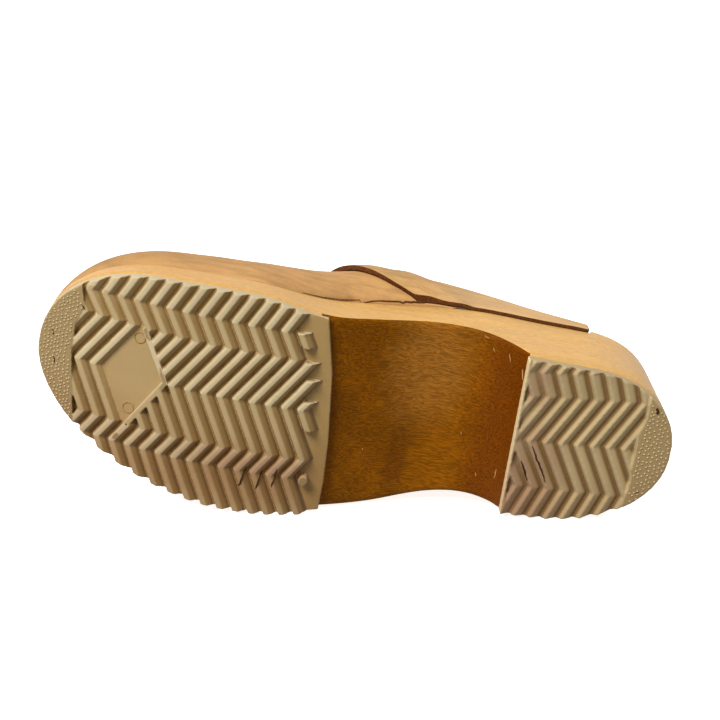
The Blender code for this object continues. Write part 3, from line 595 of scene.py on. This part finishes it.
def shaded_crest_stretches(pen, axes):
    """Mask of the stretches of the front ribs whose crests get painted shade, which slant towards the heel's
    outer side.
    """
    ahead = pen.math("MAXIMUM", pen.math("SUBTRACT", axes["X"], DRIFT_FROM), 0.0)
    across = pen.math("SUBTRACT", axes["Y"], pen.times(ahead, DRIFT))
    mask = 0.0
    for low, high in SHADED_CREST_STRETCHES:
        above = pen.math("GREATER_THAN", across, low)
        below = pen.math("LESS_THAN", across, high)
        mask = pen.math("ADD", mask, pen.times(above, below))
    return mask


def front_dirt_and_shade(pen, place, depth):
    """Masks of dirt and painted shade, and of deeper dirt and painted shade, on the front plate's slopes and
    floors, growing with depth, less on the diamond.
    """
    slope = pen.mark("slope")
    diamond = pen.between(pen.spot(place, *DIAMOND, Ragged=0.1), 0.0, 0.25)
    less_on_diamond = pen.times(diamond, pen.between(slope, 1.0, 0.0))
    on_slopes = pen.times(slope, pen.between(depth, 0.1, 0.6))
    dirt_and_shade = pen.math("MAXIMUM", on_slopes, pen.between(depth, 1.2, 2.0))
    dirt_and_shade = pen.times(dirt_and_shade, pen.math("MULTIPLY_ADD", less_on_diamond, -0.2, 1.0))
    return dirt_and_shade, pen.times(slope, pen.between(depth, 1.5, 3.0, 0.0, 0.9))


def heel_dirt_and_shade(pen, axes, depth):
    """Masks of dirt and painted shade, and of deeper dirt and painted shade, in the heel plate's grooves,
    growing with depth, less near its front.
    """
    dirt_and_shade = pen.times(pen.between(depth, 0.7, 1.7), pen.between(axes["X"], *HEEL_DIRT_AND_SHADE, 0.55, 1.0))
    return dirt_and_shade, pen.between(depth, 1.0, 1.9)


def rubber_material(name, colours, front):
    """Moulded rubber: pale crests, dirt and painted shade on slopes and floors, painted shade on the crests
    of some front ribs, painted light on the heel plate's front, worn pinkish patches and a dusty speckle.
    """
    made, pen = new_material(name)
    axes = pen.group("shoe_axes").outputs
    place = axes["Place"]
    colour = colours.rubber if front else colours.heel_rubber
    depth = groove_depth(pen, axes, front)
    cloud = pen.noise(place, scale=0.04, detail=4.0, rough=0.6)
    base = pen.mix(pen.between(cloud, 0.3, 0.7), tinted(colour, 0.9), tinted(colour, 1.08))
    for centre, reach, strength in WORN_PATCHES[name]:
        patch = pen.spot(place, centre, reach, Ragged=0.6)
        base = pen.mix(pen.times(patch, strength), base, colours.worn)
    if front:
        # Painted shade on the crests of some stretches of the front ribs
        crest_shade = pen.times(shaded_crest_stretches(pen, axes), pen.between(depth, 0.7, 0.2, 0.0, 0.5))
        base = pen.mix(crest_shade, base, colours.groove)
    base = pen.mix(pen.mark("pad"), base, colours.pad)
    # Dirt and painted shade darken the slopes, floors and grooves with depth
    if front:
        dirt_and_shade, deep = front_dirt_and_shade(pen, place, depth)
    else:
        dirt_and_shade, deep = heel_dirt_and_shade(pen, axes, depth)
        # Painted light makes the heel plate's front wall pale
        base = pen.mix(pen.times(pen.mark("front"), 0.9), base, colours.painted_light_heel_front)
    dirt_and_shade = pen.times(dirt_and_shade, pen.math("SUBTRACT", 1.0, pen.mark("wall")))
    soil_and_shade = pen.mix(deep, colours.groove, colours.deep)
    base = pen.mix(pen.times(dirt_and_shade, 0.9), base, soil_and_shade)
    base = pen.mix(pen.between(axes["Y"], *DUSTY_SIDE), base, OUTER_DUST, "MULTIPLY")
    speck = pen.noise(place, scale=1.1, detail=4.0, rough=0.7)
    base = flecked(pen, base, speck, colour, (0.6, 0.75, 0.25, 0.6), (0.42, 0.28, 0.2, 1.3))
    dress(pen, base, roughness=pen.between(cloud, 0.3, 0.7, 0.55, 0.75), gleam=0.15)
    add_bump(pen, speck, depth=0.15, strength=0.4)
    return made


def speckled_material(name, colour):
    """Matt material of small marks, a little uneven in tone."""
    made, pen = new_material(name)
    speck = pen.noise(pen.group("shoe_axes").outputs["Place"], scale=0.9)
    dress(pen, pen.mix(speck, tinted(colour, 0.6), tinted(colour, 1.4)), roughness=0.9, gleam=0.1)
    return made


def floor_material(colour):
    """Pale glowing paper with the faintest tone."""
    made, pen = new_material("floor_paper")
    place = pen.add("ShaderNodeTexCoord").outputs["Object"]
    tone = pen.noise(place, scale=3.0, detail=2.0)
    dress(pen, pen.mix(tone, tinted(colour, 0.99), tinted(colour, 1.01)), roughness=0.9)
    pen.put(principled(pen).inputs["Emission Color"], WHITE)
    pen.put(principled(pen).inputs["Emission Strength"], FLOOR_GLOW)
    return made


def new_object(name, data):
    """New object, linked to the scene."""
    made = bpy.data.objects.new(name, data)
    bpy.context.scene.collection.objects.link(made)
    return made


def new_piece(name, mesh, materials=()):
    """Puts a finished mesh into the scene as a piece that rides on the clog."""
    piece = new_object(name, mesh)
    for look in materials:
        mesh.materials.append(look)
    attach(piece, "root")
    return piece


def merged_copy(node):
    """Mesh of a CAD node with its loose triangles joined, as an open bmesh."""
    shape = bmesh.new()
    shape.from_mesh(frame["nodes"][node].data)
    bmesh.ops.remove_doubles(shape, verts=shape.verts, dist=SAME_POINT)
    return shape


def evaluated(mesh, add_modifiers):
    """Mesh after modifiers that a function adds to it."""
    helper = new_object("helper", mesh)
    add_modifiers(helper)
    graph = bpy.context.evaluated_depsgraph_get()
    done = bpy.data.meshes.new_from_object(helper.evaluated_get(graph))
    bpy.data.objects.remove(helper)
    return done


def smooth_mesh(shape, name, add_modifiers):
    """Smoothly shaded mesh from a bmesh, which is freed, after modifiers."""
    mesh = bpy.data.meshes.new(name)
    shape.to_mesh(mesh)
    shape.free()
    done = evaluated(mesh, add_modifiers)
    done.shade_smooth()
    return done


def face_regions(shape, sharp):
    """Lists of faces joined across edges flatter than sharp, largest area first."""
    left = set(shape.faces)
    regions = []
    while left:
        region = [left.pop()]
        for face in region:
            for edge in face.edges:
                if len(edge.link_faces) == 2 and edge.calc_face_angle(0.0) < sharp:
                    for other in edge.link_faces:
                        if other in left:
                            left.remove(other)
                            region.append(other)
        regions.append(region)
    return sorted(regions, key=lambda faces: -sum(f.calc_area() for f in faces))


def crease_sharp_edges(shape, sharp, amount):
    """Keeps edges above an angle crisp under later smoothing."""
    layer = shape.edges.layers.float.new("crease_edge")
    for edge in shape.edges:
        if edge.calc_face_angle(0.0) > sharp:
            edge[layer] = amount


def join_quads(shape):
    """Joins pairs of triangles to quads where they make good ones."""
    bmesh.ops.join_triangles(shape, faces=shape.faces, angle_face_threshold=QUAD_FACE_ANGLE,
                             angle_shape_threshold=QUAD_CORNER_ANGLE)


def subdivided(shape, name):
    """Smooth mesh from a bmesh with creased edges."""
    def add_modifiers(helper):
        step = helper.modifiers.new("smooth", "SUBSURF")
        step.levels = SMOOTH_LEVELS
        step.render_levels = SMOOTH_LEVELS
    return smooth_mesh(shape, name, add_modifiers)


def worn(shape, name, grain, passes, keep=1.0):
    """Mesh of a plate with worn ribs: rebuilt from small even faces, smoothed, and thinned to a share."""
    def add_modifiers(helper):
        rebuild = helper.modifiers.new("rebuild", "REMESH")
        rebuild.mode = "VOXEL"
        rebuild.voxel_size = grain
        ease = helper.modifiers.new("ease", "SMOOTH")
        ease.iterations = passes
        thin = helper.modifiers.new("thin", "DECIMATE")
        thin.ratio = keep
    return smooth_mesh(shape, name, add_modifiers)


def mark_points(mesh, surface):
    """Writes how far each point of a tread plate is slope, outer wall, front wall and proud pad."""
    turn = TO_SHOE.to_3x3()
    marks = {name: mesh.attributes.new(name, "FLOAT", "POINT") for name in ("slope", "wall", "front", "pad")}
    for index, point in enumerate(mesh.vertices):
        normal = turn @ point.normal
        place = TO_SHOE @ point.co
        proud = ground_z(place.x / MM) - place.z / MM
        wall = False
        if abs(normal.z) < WALL_Z:
            outside, _, _, _ = surface.ray_cast(place + normal * WALL_CLEARANCE * MM, normal)
            wall = outside is None
        slope = (SLOPE_FROM_Z - abs(normal.z)) / SLOPE_SPAN_Z
        values = {
            "slope": min(1.0, max(0.0, slope)),
            "wall": float(wall),
            "front": float(wall and normal.x > FRONT_X and place.x > HEEL_FRONT * MM),
            "pad": float(normal.z < PAD_Z and proud > PAD_SHARE * PAD_PROUD),
        }
        for name, value in values.items():
            marks[name].data[index].value = value


def tree_of(node):
    """Search tree of a CAD node's surface, in shoe metres."""
    shape = merged_copy(node)
    shape.transform(TO_SHOE)
    shape.normal_update()
    made = BVHTree.FromBMesh(shape)
    shape.free()
    return made


def from_below(surface, x, y):
    """Lowest point of a surface at a plan position, in shoe metres, and its normal."""
    spot, normal, _, _ = surface.ray_cast(Vector((x * MM, y * MM, LOOK_FROM)), Vector((0.0, 0.0, 1.0)))
    return spot, normal


def geometry_tree(name, *sizes):
    """Empty Geometry Nodes tree with a geometry in and out, named sizes and a material."""
    geometry = ("Geometry", "NodeSocketGeometry")
    inputs = [geometry, *((size, FLOAT) for size in sizes), ("Material", "NodeSocketMaterial")]
    return new_tree(name, "GeometryNodeTree", inputs, [geometry])


def end_tree(pen, given, result, geometry):
    """Last steps of every tree: realized, shaded smooth and given its material."""
    real = pen.add("GeometryNodeRealizeInstances", {"Geometry": geometry})
    smooth = pen.add("GeometryNodeSetShadeSmooth", {"Geometry": real.outputs[0]})
    look = pen.add("GeometryNodeSetMaterial", {"Geometry": smooth.outputs[0], "Material": given["Material"]})
    pen.put(result["Geometry"], look.outputs[0])


def circle(pen, resolution, radius):
    """Curve of a circle."""
    made = pen.add("GeometryNodeCurvePrimitiveCircle", {"Resolution": resolution, "Radius": radius})
    return made.outputs["Curve"]


def instances_on(pen, given, shape):
    """Copies of a shape on the points, standing along each point's facing direction."""
    facing = pen.add("GeometryNodeInputNamedAttribute", {"Name": "facing"}, data_type="FLOAT_VECTOR")
    turn = pen.add("FunctionNodeAlignRotationToVector", {"Vector": facing.outputs["Attribute"]}, axis="Z")
    inputs = {"Points": given["Geometry"], "Instance": shape, "Rotation": turn.outputs["Rotation"]}
    return pen.add("GeometryNodeInstanceOnPoints", inputs).outputs["Instances"]


def dot_tree():
    """Raised dots of a pad."""
    pen, given, result = geometry_tree("pad_dots", "Radius")
    ball = pen.add("GeometryNodeMeshIcoSphere", {"Radius": given["Radius"], "Subdivisions": 1})
    end_tree(pen, given, result, instances_on(pen, given, ball.outputs["Mesh"]))
    return pen.tree


def ring_tree():
    """Raised rings that ejector pins leave in a mould."""
    pen, given, result = geometry_tree("mould_rings", "Radius", "Wire")
    path = circle(pen, resolution=28, radius=given["Radius"])
    wire = circle(pen, resolution=8, radius=given["Wire"])
    ring = pen.add("GeometryNodeCurveToMesh", {"Curve": path, "Profile Curve": wire})
    end_tree(pen, given, result, instances_on(pen, given, ring.outputs["Mesh"]))
    return pen.tree


def stroke_tree():
    """Thin strokes along polylines, as thick as each point says."""
    pen, given, result = geometry_tree("strokes")
    path = pen.add("GeometryNodeMeshToCurve", {"Mesh": given["Geometry"]})
    thick = pen.add("GeometryNodeInputNamedAttribute", {"Name": "thick"}, data_type="FLOAT")
    inputs = {"Curve": path.outputs["Curve"], "Profile Curve": circle(pen, resolution=6, radius=1.0),
              "Scale": thick.outputs["Attribute"], "Fill Caps": True}
    tube = pen.add("GeometryNodeCurveToMesh", inputs)
    end_tree(pen, given, result, tube.outputs["Mesh"])
    return pen.tree


def grown(tree, seed, **values):
    """Plain mesh that a Geometry Nodes tree grows from a seed mesh."""
    def add_modifiers(helper):
        step = helper.modifiers.new("grow", "NODES")
        step.node_group = tree
        for item in tree.interface.items_tree:
            if item.in_out == "INPUT" and item.name in values:
                step[item.identifier] = values[item.name]
    return evaluated(seed, add_modifiers)


def point_seed(name, spots):
    """Mesh of loose points with a facing direction, from places and normals in shoe metres."""
    mesh = bpy.data.meshes.new(name)
    mesh.from_pydata([TO_ROW @ spot for spot, _ in spots], [], [])
    facing = mesh.attributes.new("facing", "FLOAT_VECTOR", "POINT")
    for item, (_, normal) in zip(facing.data, spots):
        item.vector = TO_ROW.to_3x3() @ normal
    return mesh


def stroke_seed(name, lines):
    """Mesh of polylines, from lists of places in shoe metres and half thicknesses in millimetres."""
    mesh = bpy.data.meshes.new(name)
    points = []
    edges = []
    for line in lines:
        start = len(points)
        points += line
        edges += [(start + k, start + k + 1) for k in range(len(line) - 1)]
    mesh.from_pydata([TO_ROW @ spot for spot, _ in points], edges, [])
    thick = mesh.attributes.new("thick", "FLOAT", "POINT")
    for item, (_, size) in zip(thick.data, points):
        item.value = size * MM
    return mesh


def ragged_line(surface, start, end, thick):
    """Stroke laid on a surface from one plan position to another, ragged and thin at its ends."""
    start = Vector(start)
    end = Vector(end)
    steps = max(STROKE_STEPS, int((end - start).length / STROKE_STEP))
    side = (end - start).normalized().orthogonal()
    line = []
    for k in range(steps + 1):
        t = k / steps
        plan = start.lerp(end, t)
        stray = noise.noise(Vector((plan.x * STROKE_NOISE, plan.y * STROKE_NOISE, thick * STROKE_LAYER)))
        plan = plan + side * stray * STROKE_SWAY
        spot, _ = from_below(surface, plan.x, plan.y)
        if spot is None:
            continue
        taper = STROKE_TIP + (1.0 - STROKE_TIP) * math.sin(math.pi * t) ** STROKE_FILL
        line.append((spot, thick * taper * (STROKE_BODY + STROKE_SWELL * abs(stray))))
    return line


def ragged_lines(node, rows):
    """Strokes on a CAD node."""
    surface = tree_of(node)
    return [ragged_line(surface, *row) for row in rows]


def pad_spots(surface, corner, rows, columns, pitch):
    """Places of the dots on a plain pad: a staggered lattice, kept where the pad is flat all round."""
    spots = []
    reach = 0.5 * pitch
    for i in range(rows):
        for j in range(columns):
            x = corner[0] + i * pitch * ROW_SHARE
            y = corner[1] + (j + 0.5 * (i % 2)) * pitch
            stray = [noise.noise(Vector((x, y, layer))) for layer in STRAY_LAYERS]
            x += STRAY_SHARE * pitch * stray[0]
            y += STRAY_SHARE * pitch * stray[1]
            flat = True
            for dx, dy in ((reach, 0.0), (-reach, 0.0), (0.0, reach), (0.0, -reach)):
                spot, _ = from_below(surface, x + dx, y + dy)
                level = ground_z(x + dx) - PAD_PROUD
                flat = flat and spot is not None and abs(spot.z / MM - level) < PAD_LEVEL
            if flat:
                spots.append(from_below(surface, x, y))
    return spots


class CLOG_OT_wood(bpy.types.Operator):
    """Carved sole: smooth copy of the solid with pale sides and a dark varnished arch"""

    bl_idname = "clog.wood"
    bl_label = "Carve the wooden sole"

    def execute(self, context):
        colours = context.scene.clog_colours
        shape = merged_copy("wood_sole")
        join_quads(shape)
        for face in shape.faces:
            face.material_index = int(self.is_arch(face))
        crease_sharp_edges(shape, WOOD_SHARP, WOOD_CREASE)
        piece = new_piece("carved_sole", subdivided(shape, "carved_sole"),
                          [wood_side_material(colours.wood_side), wood_arch_material(colours.wood_arch)])
        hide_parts("wood_sole")
        return {"FINISHED"}

    def is_arch(self, face):
        """True for the underside between the plates, with the chamfers along it."""
        x = (TO_SHOE @ face.calc_center_median()).x / MM
        normal = TO_SHOE.to_3x3() @ face.normal
        reach = CHAMFER_REACH if normal.y > INNER_SIDE_Y else ARCH_REACH
        return normal.z < UNDERSIDE_Z and reach[0] < x < reach[1]


class CLOG_OT_treads(bpy.types.Operator):
    """Moulded rubber plates: rounded copies of the solids"""

    bl_idname = "clog.treads"
    bl_label = "Mould the tread plates"

    def execute(self, context):
        colours = context.scene.clog_colours
        sizes = context.scene.clog_sizes
        front_wear = (sizes.front_grain, sizes.front_wear, sizes.front_keep)
        heel_wear = (sizes.heel_grain, sizes.heel_wear)
        for node, slot, name, wear in (
                ("tread_front", "rubber", "rubber_front", front_wear),
                ("tread_heel", "heel_rubber", "rubber_heel", heel_wear)):
            mesh = worn(merged_copy(node), name, *wear)
            mark_points(mesh, tree_of(node))
            look = rubber_material(name, colours, node == "tread_front")
            piece = new_piece("moulded_" + node, mesh, [look])
            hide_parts(node)
        return {"FINISHED"}


class CLOG_OT_pads(bpy.types.Operator):
    """Raised dots of the toe and heel pads and the mould rings of the diamond pad"""

    bl_idname = "clog.pads"
    bl_label = "Raise the pads' dots and rings"

    def execute(self, context):
        colours = context.scene.clog_colours
        sizes = context.scene.clog_sizes
        dots = dot_tree()
        look = speckled_material("pale_dots", colours.dots)
        for node, slot, lattice, pitch, radius in (
                ("tread_front", "rubber", TOE_LATTICE, sizes.toe_pitch, sizes.toe_dot),
                ("tread_heel", "heel_rubber", HEEL_LATTICE, sizes.heel_pitch, sizes.heel_dot)):
            spots = pad_spots(tree_of(node), *lattice, pitch / MM)
            mesh = grown(dots, point_seed(node + "_dots", spots), Radius=radius, Material=look)
            new_piece(node + "_dots", mesh)
        surface = tree_of("tread_front")
        spots = [from_below(surface, x, y) for x, y in MOULD_RINGS]
        mesh = grown(ring_tree(), point_seed("mould_rings", spots), Radius=sizes.ring_radius,
                     Wire=sizes.ring_wire, Material=speckled_material("ring_rubber", colours.groove))
        new_piece("mould_rings", mesh)
        return {"FINISHED"}


class CLOG_OT_marks(bpy.types.Operator):
    """Cuts, slits and nail holes in the rubber, three of them with painted shadow, scuffs in the varnish and
    a painted shadow line under the vamp's lower edge
    """

    bl_idname = "clog.marks"
    bl_label = "Add the marks of use"

    def execute(self, context):
        colours = context.scene.clog_colours
        strokes = stroke_tree()
        cut = speckled_material("dark_cut", colours.cut)
        scuff = speckled_material("pale_scuff", colours.scuff)
        # Painted shadow: the raw edge's dark material lines the gap under the vamp's lower edge
        raw_and_shadow = raw_edge_and_shadow_material("painted_shadow_line", colours.raw_edge_and_shadow)
        for name, slot, look, lines in (
                ("vamp_shadow_line", "leather", raw_and_shadow, [self.painted_shadow_line(tree_of("vamp"))]),
                ("front_cuts_and_shadows", "rubber", cut, ragged_lines("tread_front", FRONT_CUTS_AND_SHADOWS)),
                ("heel_cuts", "heel_rubber", cut, ragged_lines("tread_heel", HEEL_CUTS)),
                ("varnish_scuffs", "wood", scuff, ragged_lines("wood_sole", SCUFFS))):
            new_piece(name, grown(strokes, stroke_seed(name, lines), Material=look))
        return {"FINISHED"}

    def painted_shadow_line(self, leather):
        """Painted shadow line under the vamp's lower edge where it meets the wood on the inner side, thin at
        the toe.
        """
        inwards = Vector((0.0, -1.0, 0.0))
        line = []
        for step in range(LOWER_EDGE_STEPS + 1):
            x = LOWER_EDGE[0] + (LOWER_EDGE[1] - LOWER_EDGE[0]) * step / LOWER_EDGE_STEPS
            spot = None
            height = LOWER_EDGE_FROM
            while spot is None:
                beside = Vector((x, LOWER_EDGE_BESIDE, height)) * MM
                spot, _, _, _ = leather.ray_cast(beside, inwards, LOWER_EDGE_BESIDE * MM)
                height += LOWER_EDGE_CLIMB
            thick = LOWER_EDGE_THIN + LOWER_EDGE_GROWTH * step / LOWER_EDGE_STEPS
            line.append((spot + LOWER_EDGE_PROUD * MM, thick))
        return line


class CLOG_OT_leather(bpy.types.Operator):
    """Leather vamp and instep band: smooth copies of the solids with dark cut edges"""

    bl_idname = "clog.leather"
    bl_label = "Cut the leather"

    def execute(self, context):
        colours = context.scene.clog_colours
        raw_and_shadow = raw_edge_and_shadow_material("leather_raw_edge", colours.raw_edge_and_shadow)
        flesh = flesh_material(colours.flesh)
        for node, slot, colour in (
                ("vamp", "leather", colours.leather),
                ("instep_band", "band_leather", colours.band)):
            shape = merged_copy(node)
            join_quads(shape)
            self.sort_sides(shape)
            crease_sharp_edges(shape, LEATHER_SHARP, LEATHER_CREASE)
            mesh = subdivided(shape, node + "_leather")
            look = leather_material(node + "_nubuck", colour)
            piece = new_piece(node + "_leather", mesh, [look, flesh, raw_and_shadow])
            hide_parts(node)
        return {"FINISHED"}

    def sort_sides(self, shape):
        """Tells the two large sides, grain and flesh, from the cut edges between them."""
        middle = sum((v.co for v in shape.verts), Vector()) / len(shape.verts)
        for index, region in enumerate(face_regions(shape, LEATHER_SHARP)):
            side = RAW_EDGE
            if index < LEATHER_SIDES:
                outward = sum(f.normal.dot(f.calc_center_median() - middle) * f.calc_area() for f in region)
                side = GRAIN_SIDE if outward > 0.0 else FLESH_SIDE
            for face in region:
                face.material_index = side


def cyclorama(width, front, back, rise, curve):
    """Floor that sweeps up into a backdrop."""
    profile = [(-front, 0.0), (back - curve, 0.0)]
    for step in range(1, CURVE_STEPS + 1):
        angle = math.pi / 2.0 * step / CURVE_STEPS
        profile.append((back - curve + curve * math.sin(angle), curve - curve * math.cos(angle)))
    profile.append((back, rise))
    points = [(side * width, y, z) for y, z in profile for side in (-1.0, 1.0)]
    faces = [(2 * k, 2 * k + 1, 2 * k + 3, 2 * k + 2) for k in range(len(profile) - 1)]
    mesh = bpy.data.meshes.new("studio_floor")
    mesh.from_pydata(points, [], faces)
    mesh.shade_smooth()
    return mesh


class CLOG_OT_stage(bpy.types.Operator):
    """Pale floor, soft studio light and the camera"""

    bl_idname = "clog.stage"
    bl_label = "Set the stage"

    # The camera in the shoe's own axes: eye in millimetres, view and up directions
    EYE = Vector((159.4516, 193.7760, -473.1104))
    VIEW = Vector((-0.0640883, -0.3451208, 0.9363676))
    UP = Vector((0.1703802, 0.9207361, 0.3510208))
    SENSOR_WIDTH = 36.0

    def execute(self, context):
        scene = context.scene
        backdrop = cyclorama(width=4.0, front=3.0, back=1.6, rise=3.0, curve=0.8)
        floor = new_object("studio_floor", backdrop)
        floor.data.materials.append(floor_material(scene.clog_colours.floor))
        floor.visible_diffuse = False
        self.add_camera(scene)
        self.add_lights(scene)
        scene.view_settings.view_transform = "Standard"
        return {"FINISHED"}

    def add_camera(self, scene):
        """Camera that sees the clog as the photo does."""
        view = (TO_ROW.to_3x3() @ self.VIEW).normalized()
        up = (TO_ROW.to_3x3() @ self.UP).normalized()
        right = view.cross(up).normalized()
        up = right.cross(view)
        turn = Matrix((right, up, -view)).transposed().to_4x4()
        turn.translation = TO_ROW @ (self.EYE * MM)
        data = bpy.data.cameras.new("photo_camera")
        data.sensor_width = self.SENSOR_WIDTH
        data.lens = scene.clog_sizes.lens
        scene.camera = new_object("photo_camera", data)
        scene.camera.matrix_world = turn

    def add_lights(self, scene):
        """White surroundings, a strong light from the toe's side and a weak one from the heel's."""
        world = bpy.data.worlds.new("studio")
        world.use_nodes = True
        background = world.node_tree.nodes["Background"]
        background.inputs["Color"].default_value = WHITE
        background.inputs["Strength"].default_value = WORLD_STRENGTH
        scene.world = world
        for name, place, size, power in LIGHTS:
            data = bpy.data.lights.new(name, "AREA")
            data.shape = "DISK"
            data.size = size
            data.energy = power
            lamp = new_object(name, data)
            lamp.location = place
            lamp.rotation_euler = (LIGHT_AIM - Vector(place)).to_track_quat("-Z", "Y").to_euler()


OPERATORS = [CLOG_OT_wood, CLOG_OT_treads, CLOG_OT_pads, CLOG_OT_marks, CLOG_OT_leather, CLOG_OT_stage]


class CLOG_PT_panel(bpy.types.Panel):
    """Lists the clog's operators, sizes and colours"""

    bl_idname = "CLOG_PT_panel"
    bl_label = "Clog"
    bl_space_type = "VIEW_3D"
    bl_region_type = "UI"
    bl_category = "Clog"

    def draw(self, context):
        for operator in OPERATORS:
            self.layout.operator(operator.bl_idname)
        for group in (context.scene.clog_sizes, context.scene.clog_colours):
            for name in group.__annotations__:
                self.layout.prop(group, name)


CLASSES = [ClogColours, ClogSizes, *OPERATORS, CLOG_PT_panel]


def register():
    for item in CLASSES:
        bpy.utils.register_class(item)
    bpy.types.Scene.clog_colours = bpy.props.PointerProperty(type=ClogColours)
    bpy.types.Scene.clog_sizes = bpy.props.PointerProperty(type=ClogSizes)


def unregister():
    del bpy.types.Scene.clog_sizes
    del bpy.types.Scene.clog_colours
    for item in reversed(CLASSES):
        bpy.utils.unregister_class(item)


def main():
    """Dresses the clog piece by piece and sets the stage."""
    register()
    shoe_axes_group()
    soft_spot_group()
    streak_group()
    bpy.ops.clog.wood()
    bpy.ops.clog.treads()
    bpy.ops.clog.pads()
    bpy.ops.clog.marks()
    bpy.ops.clog.leather()
    bpy.ops.clog.stage()


if __name__ == "__main__":
    main()
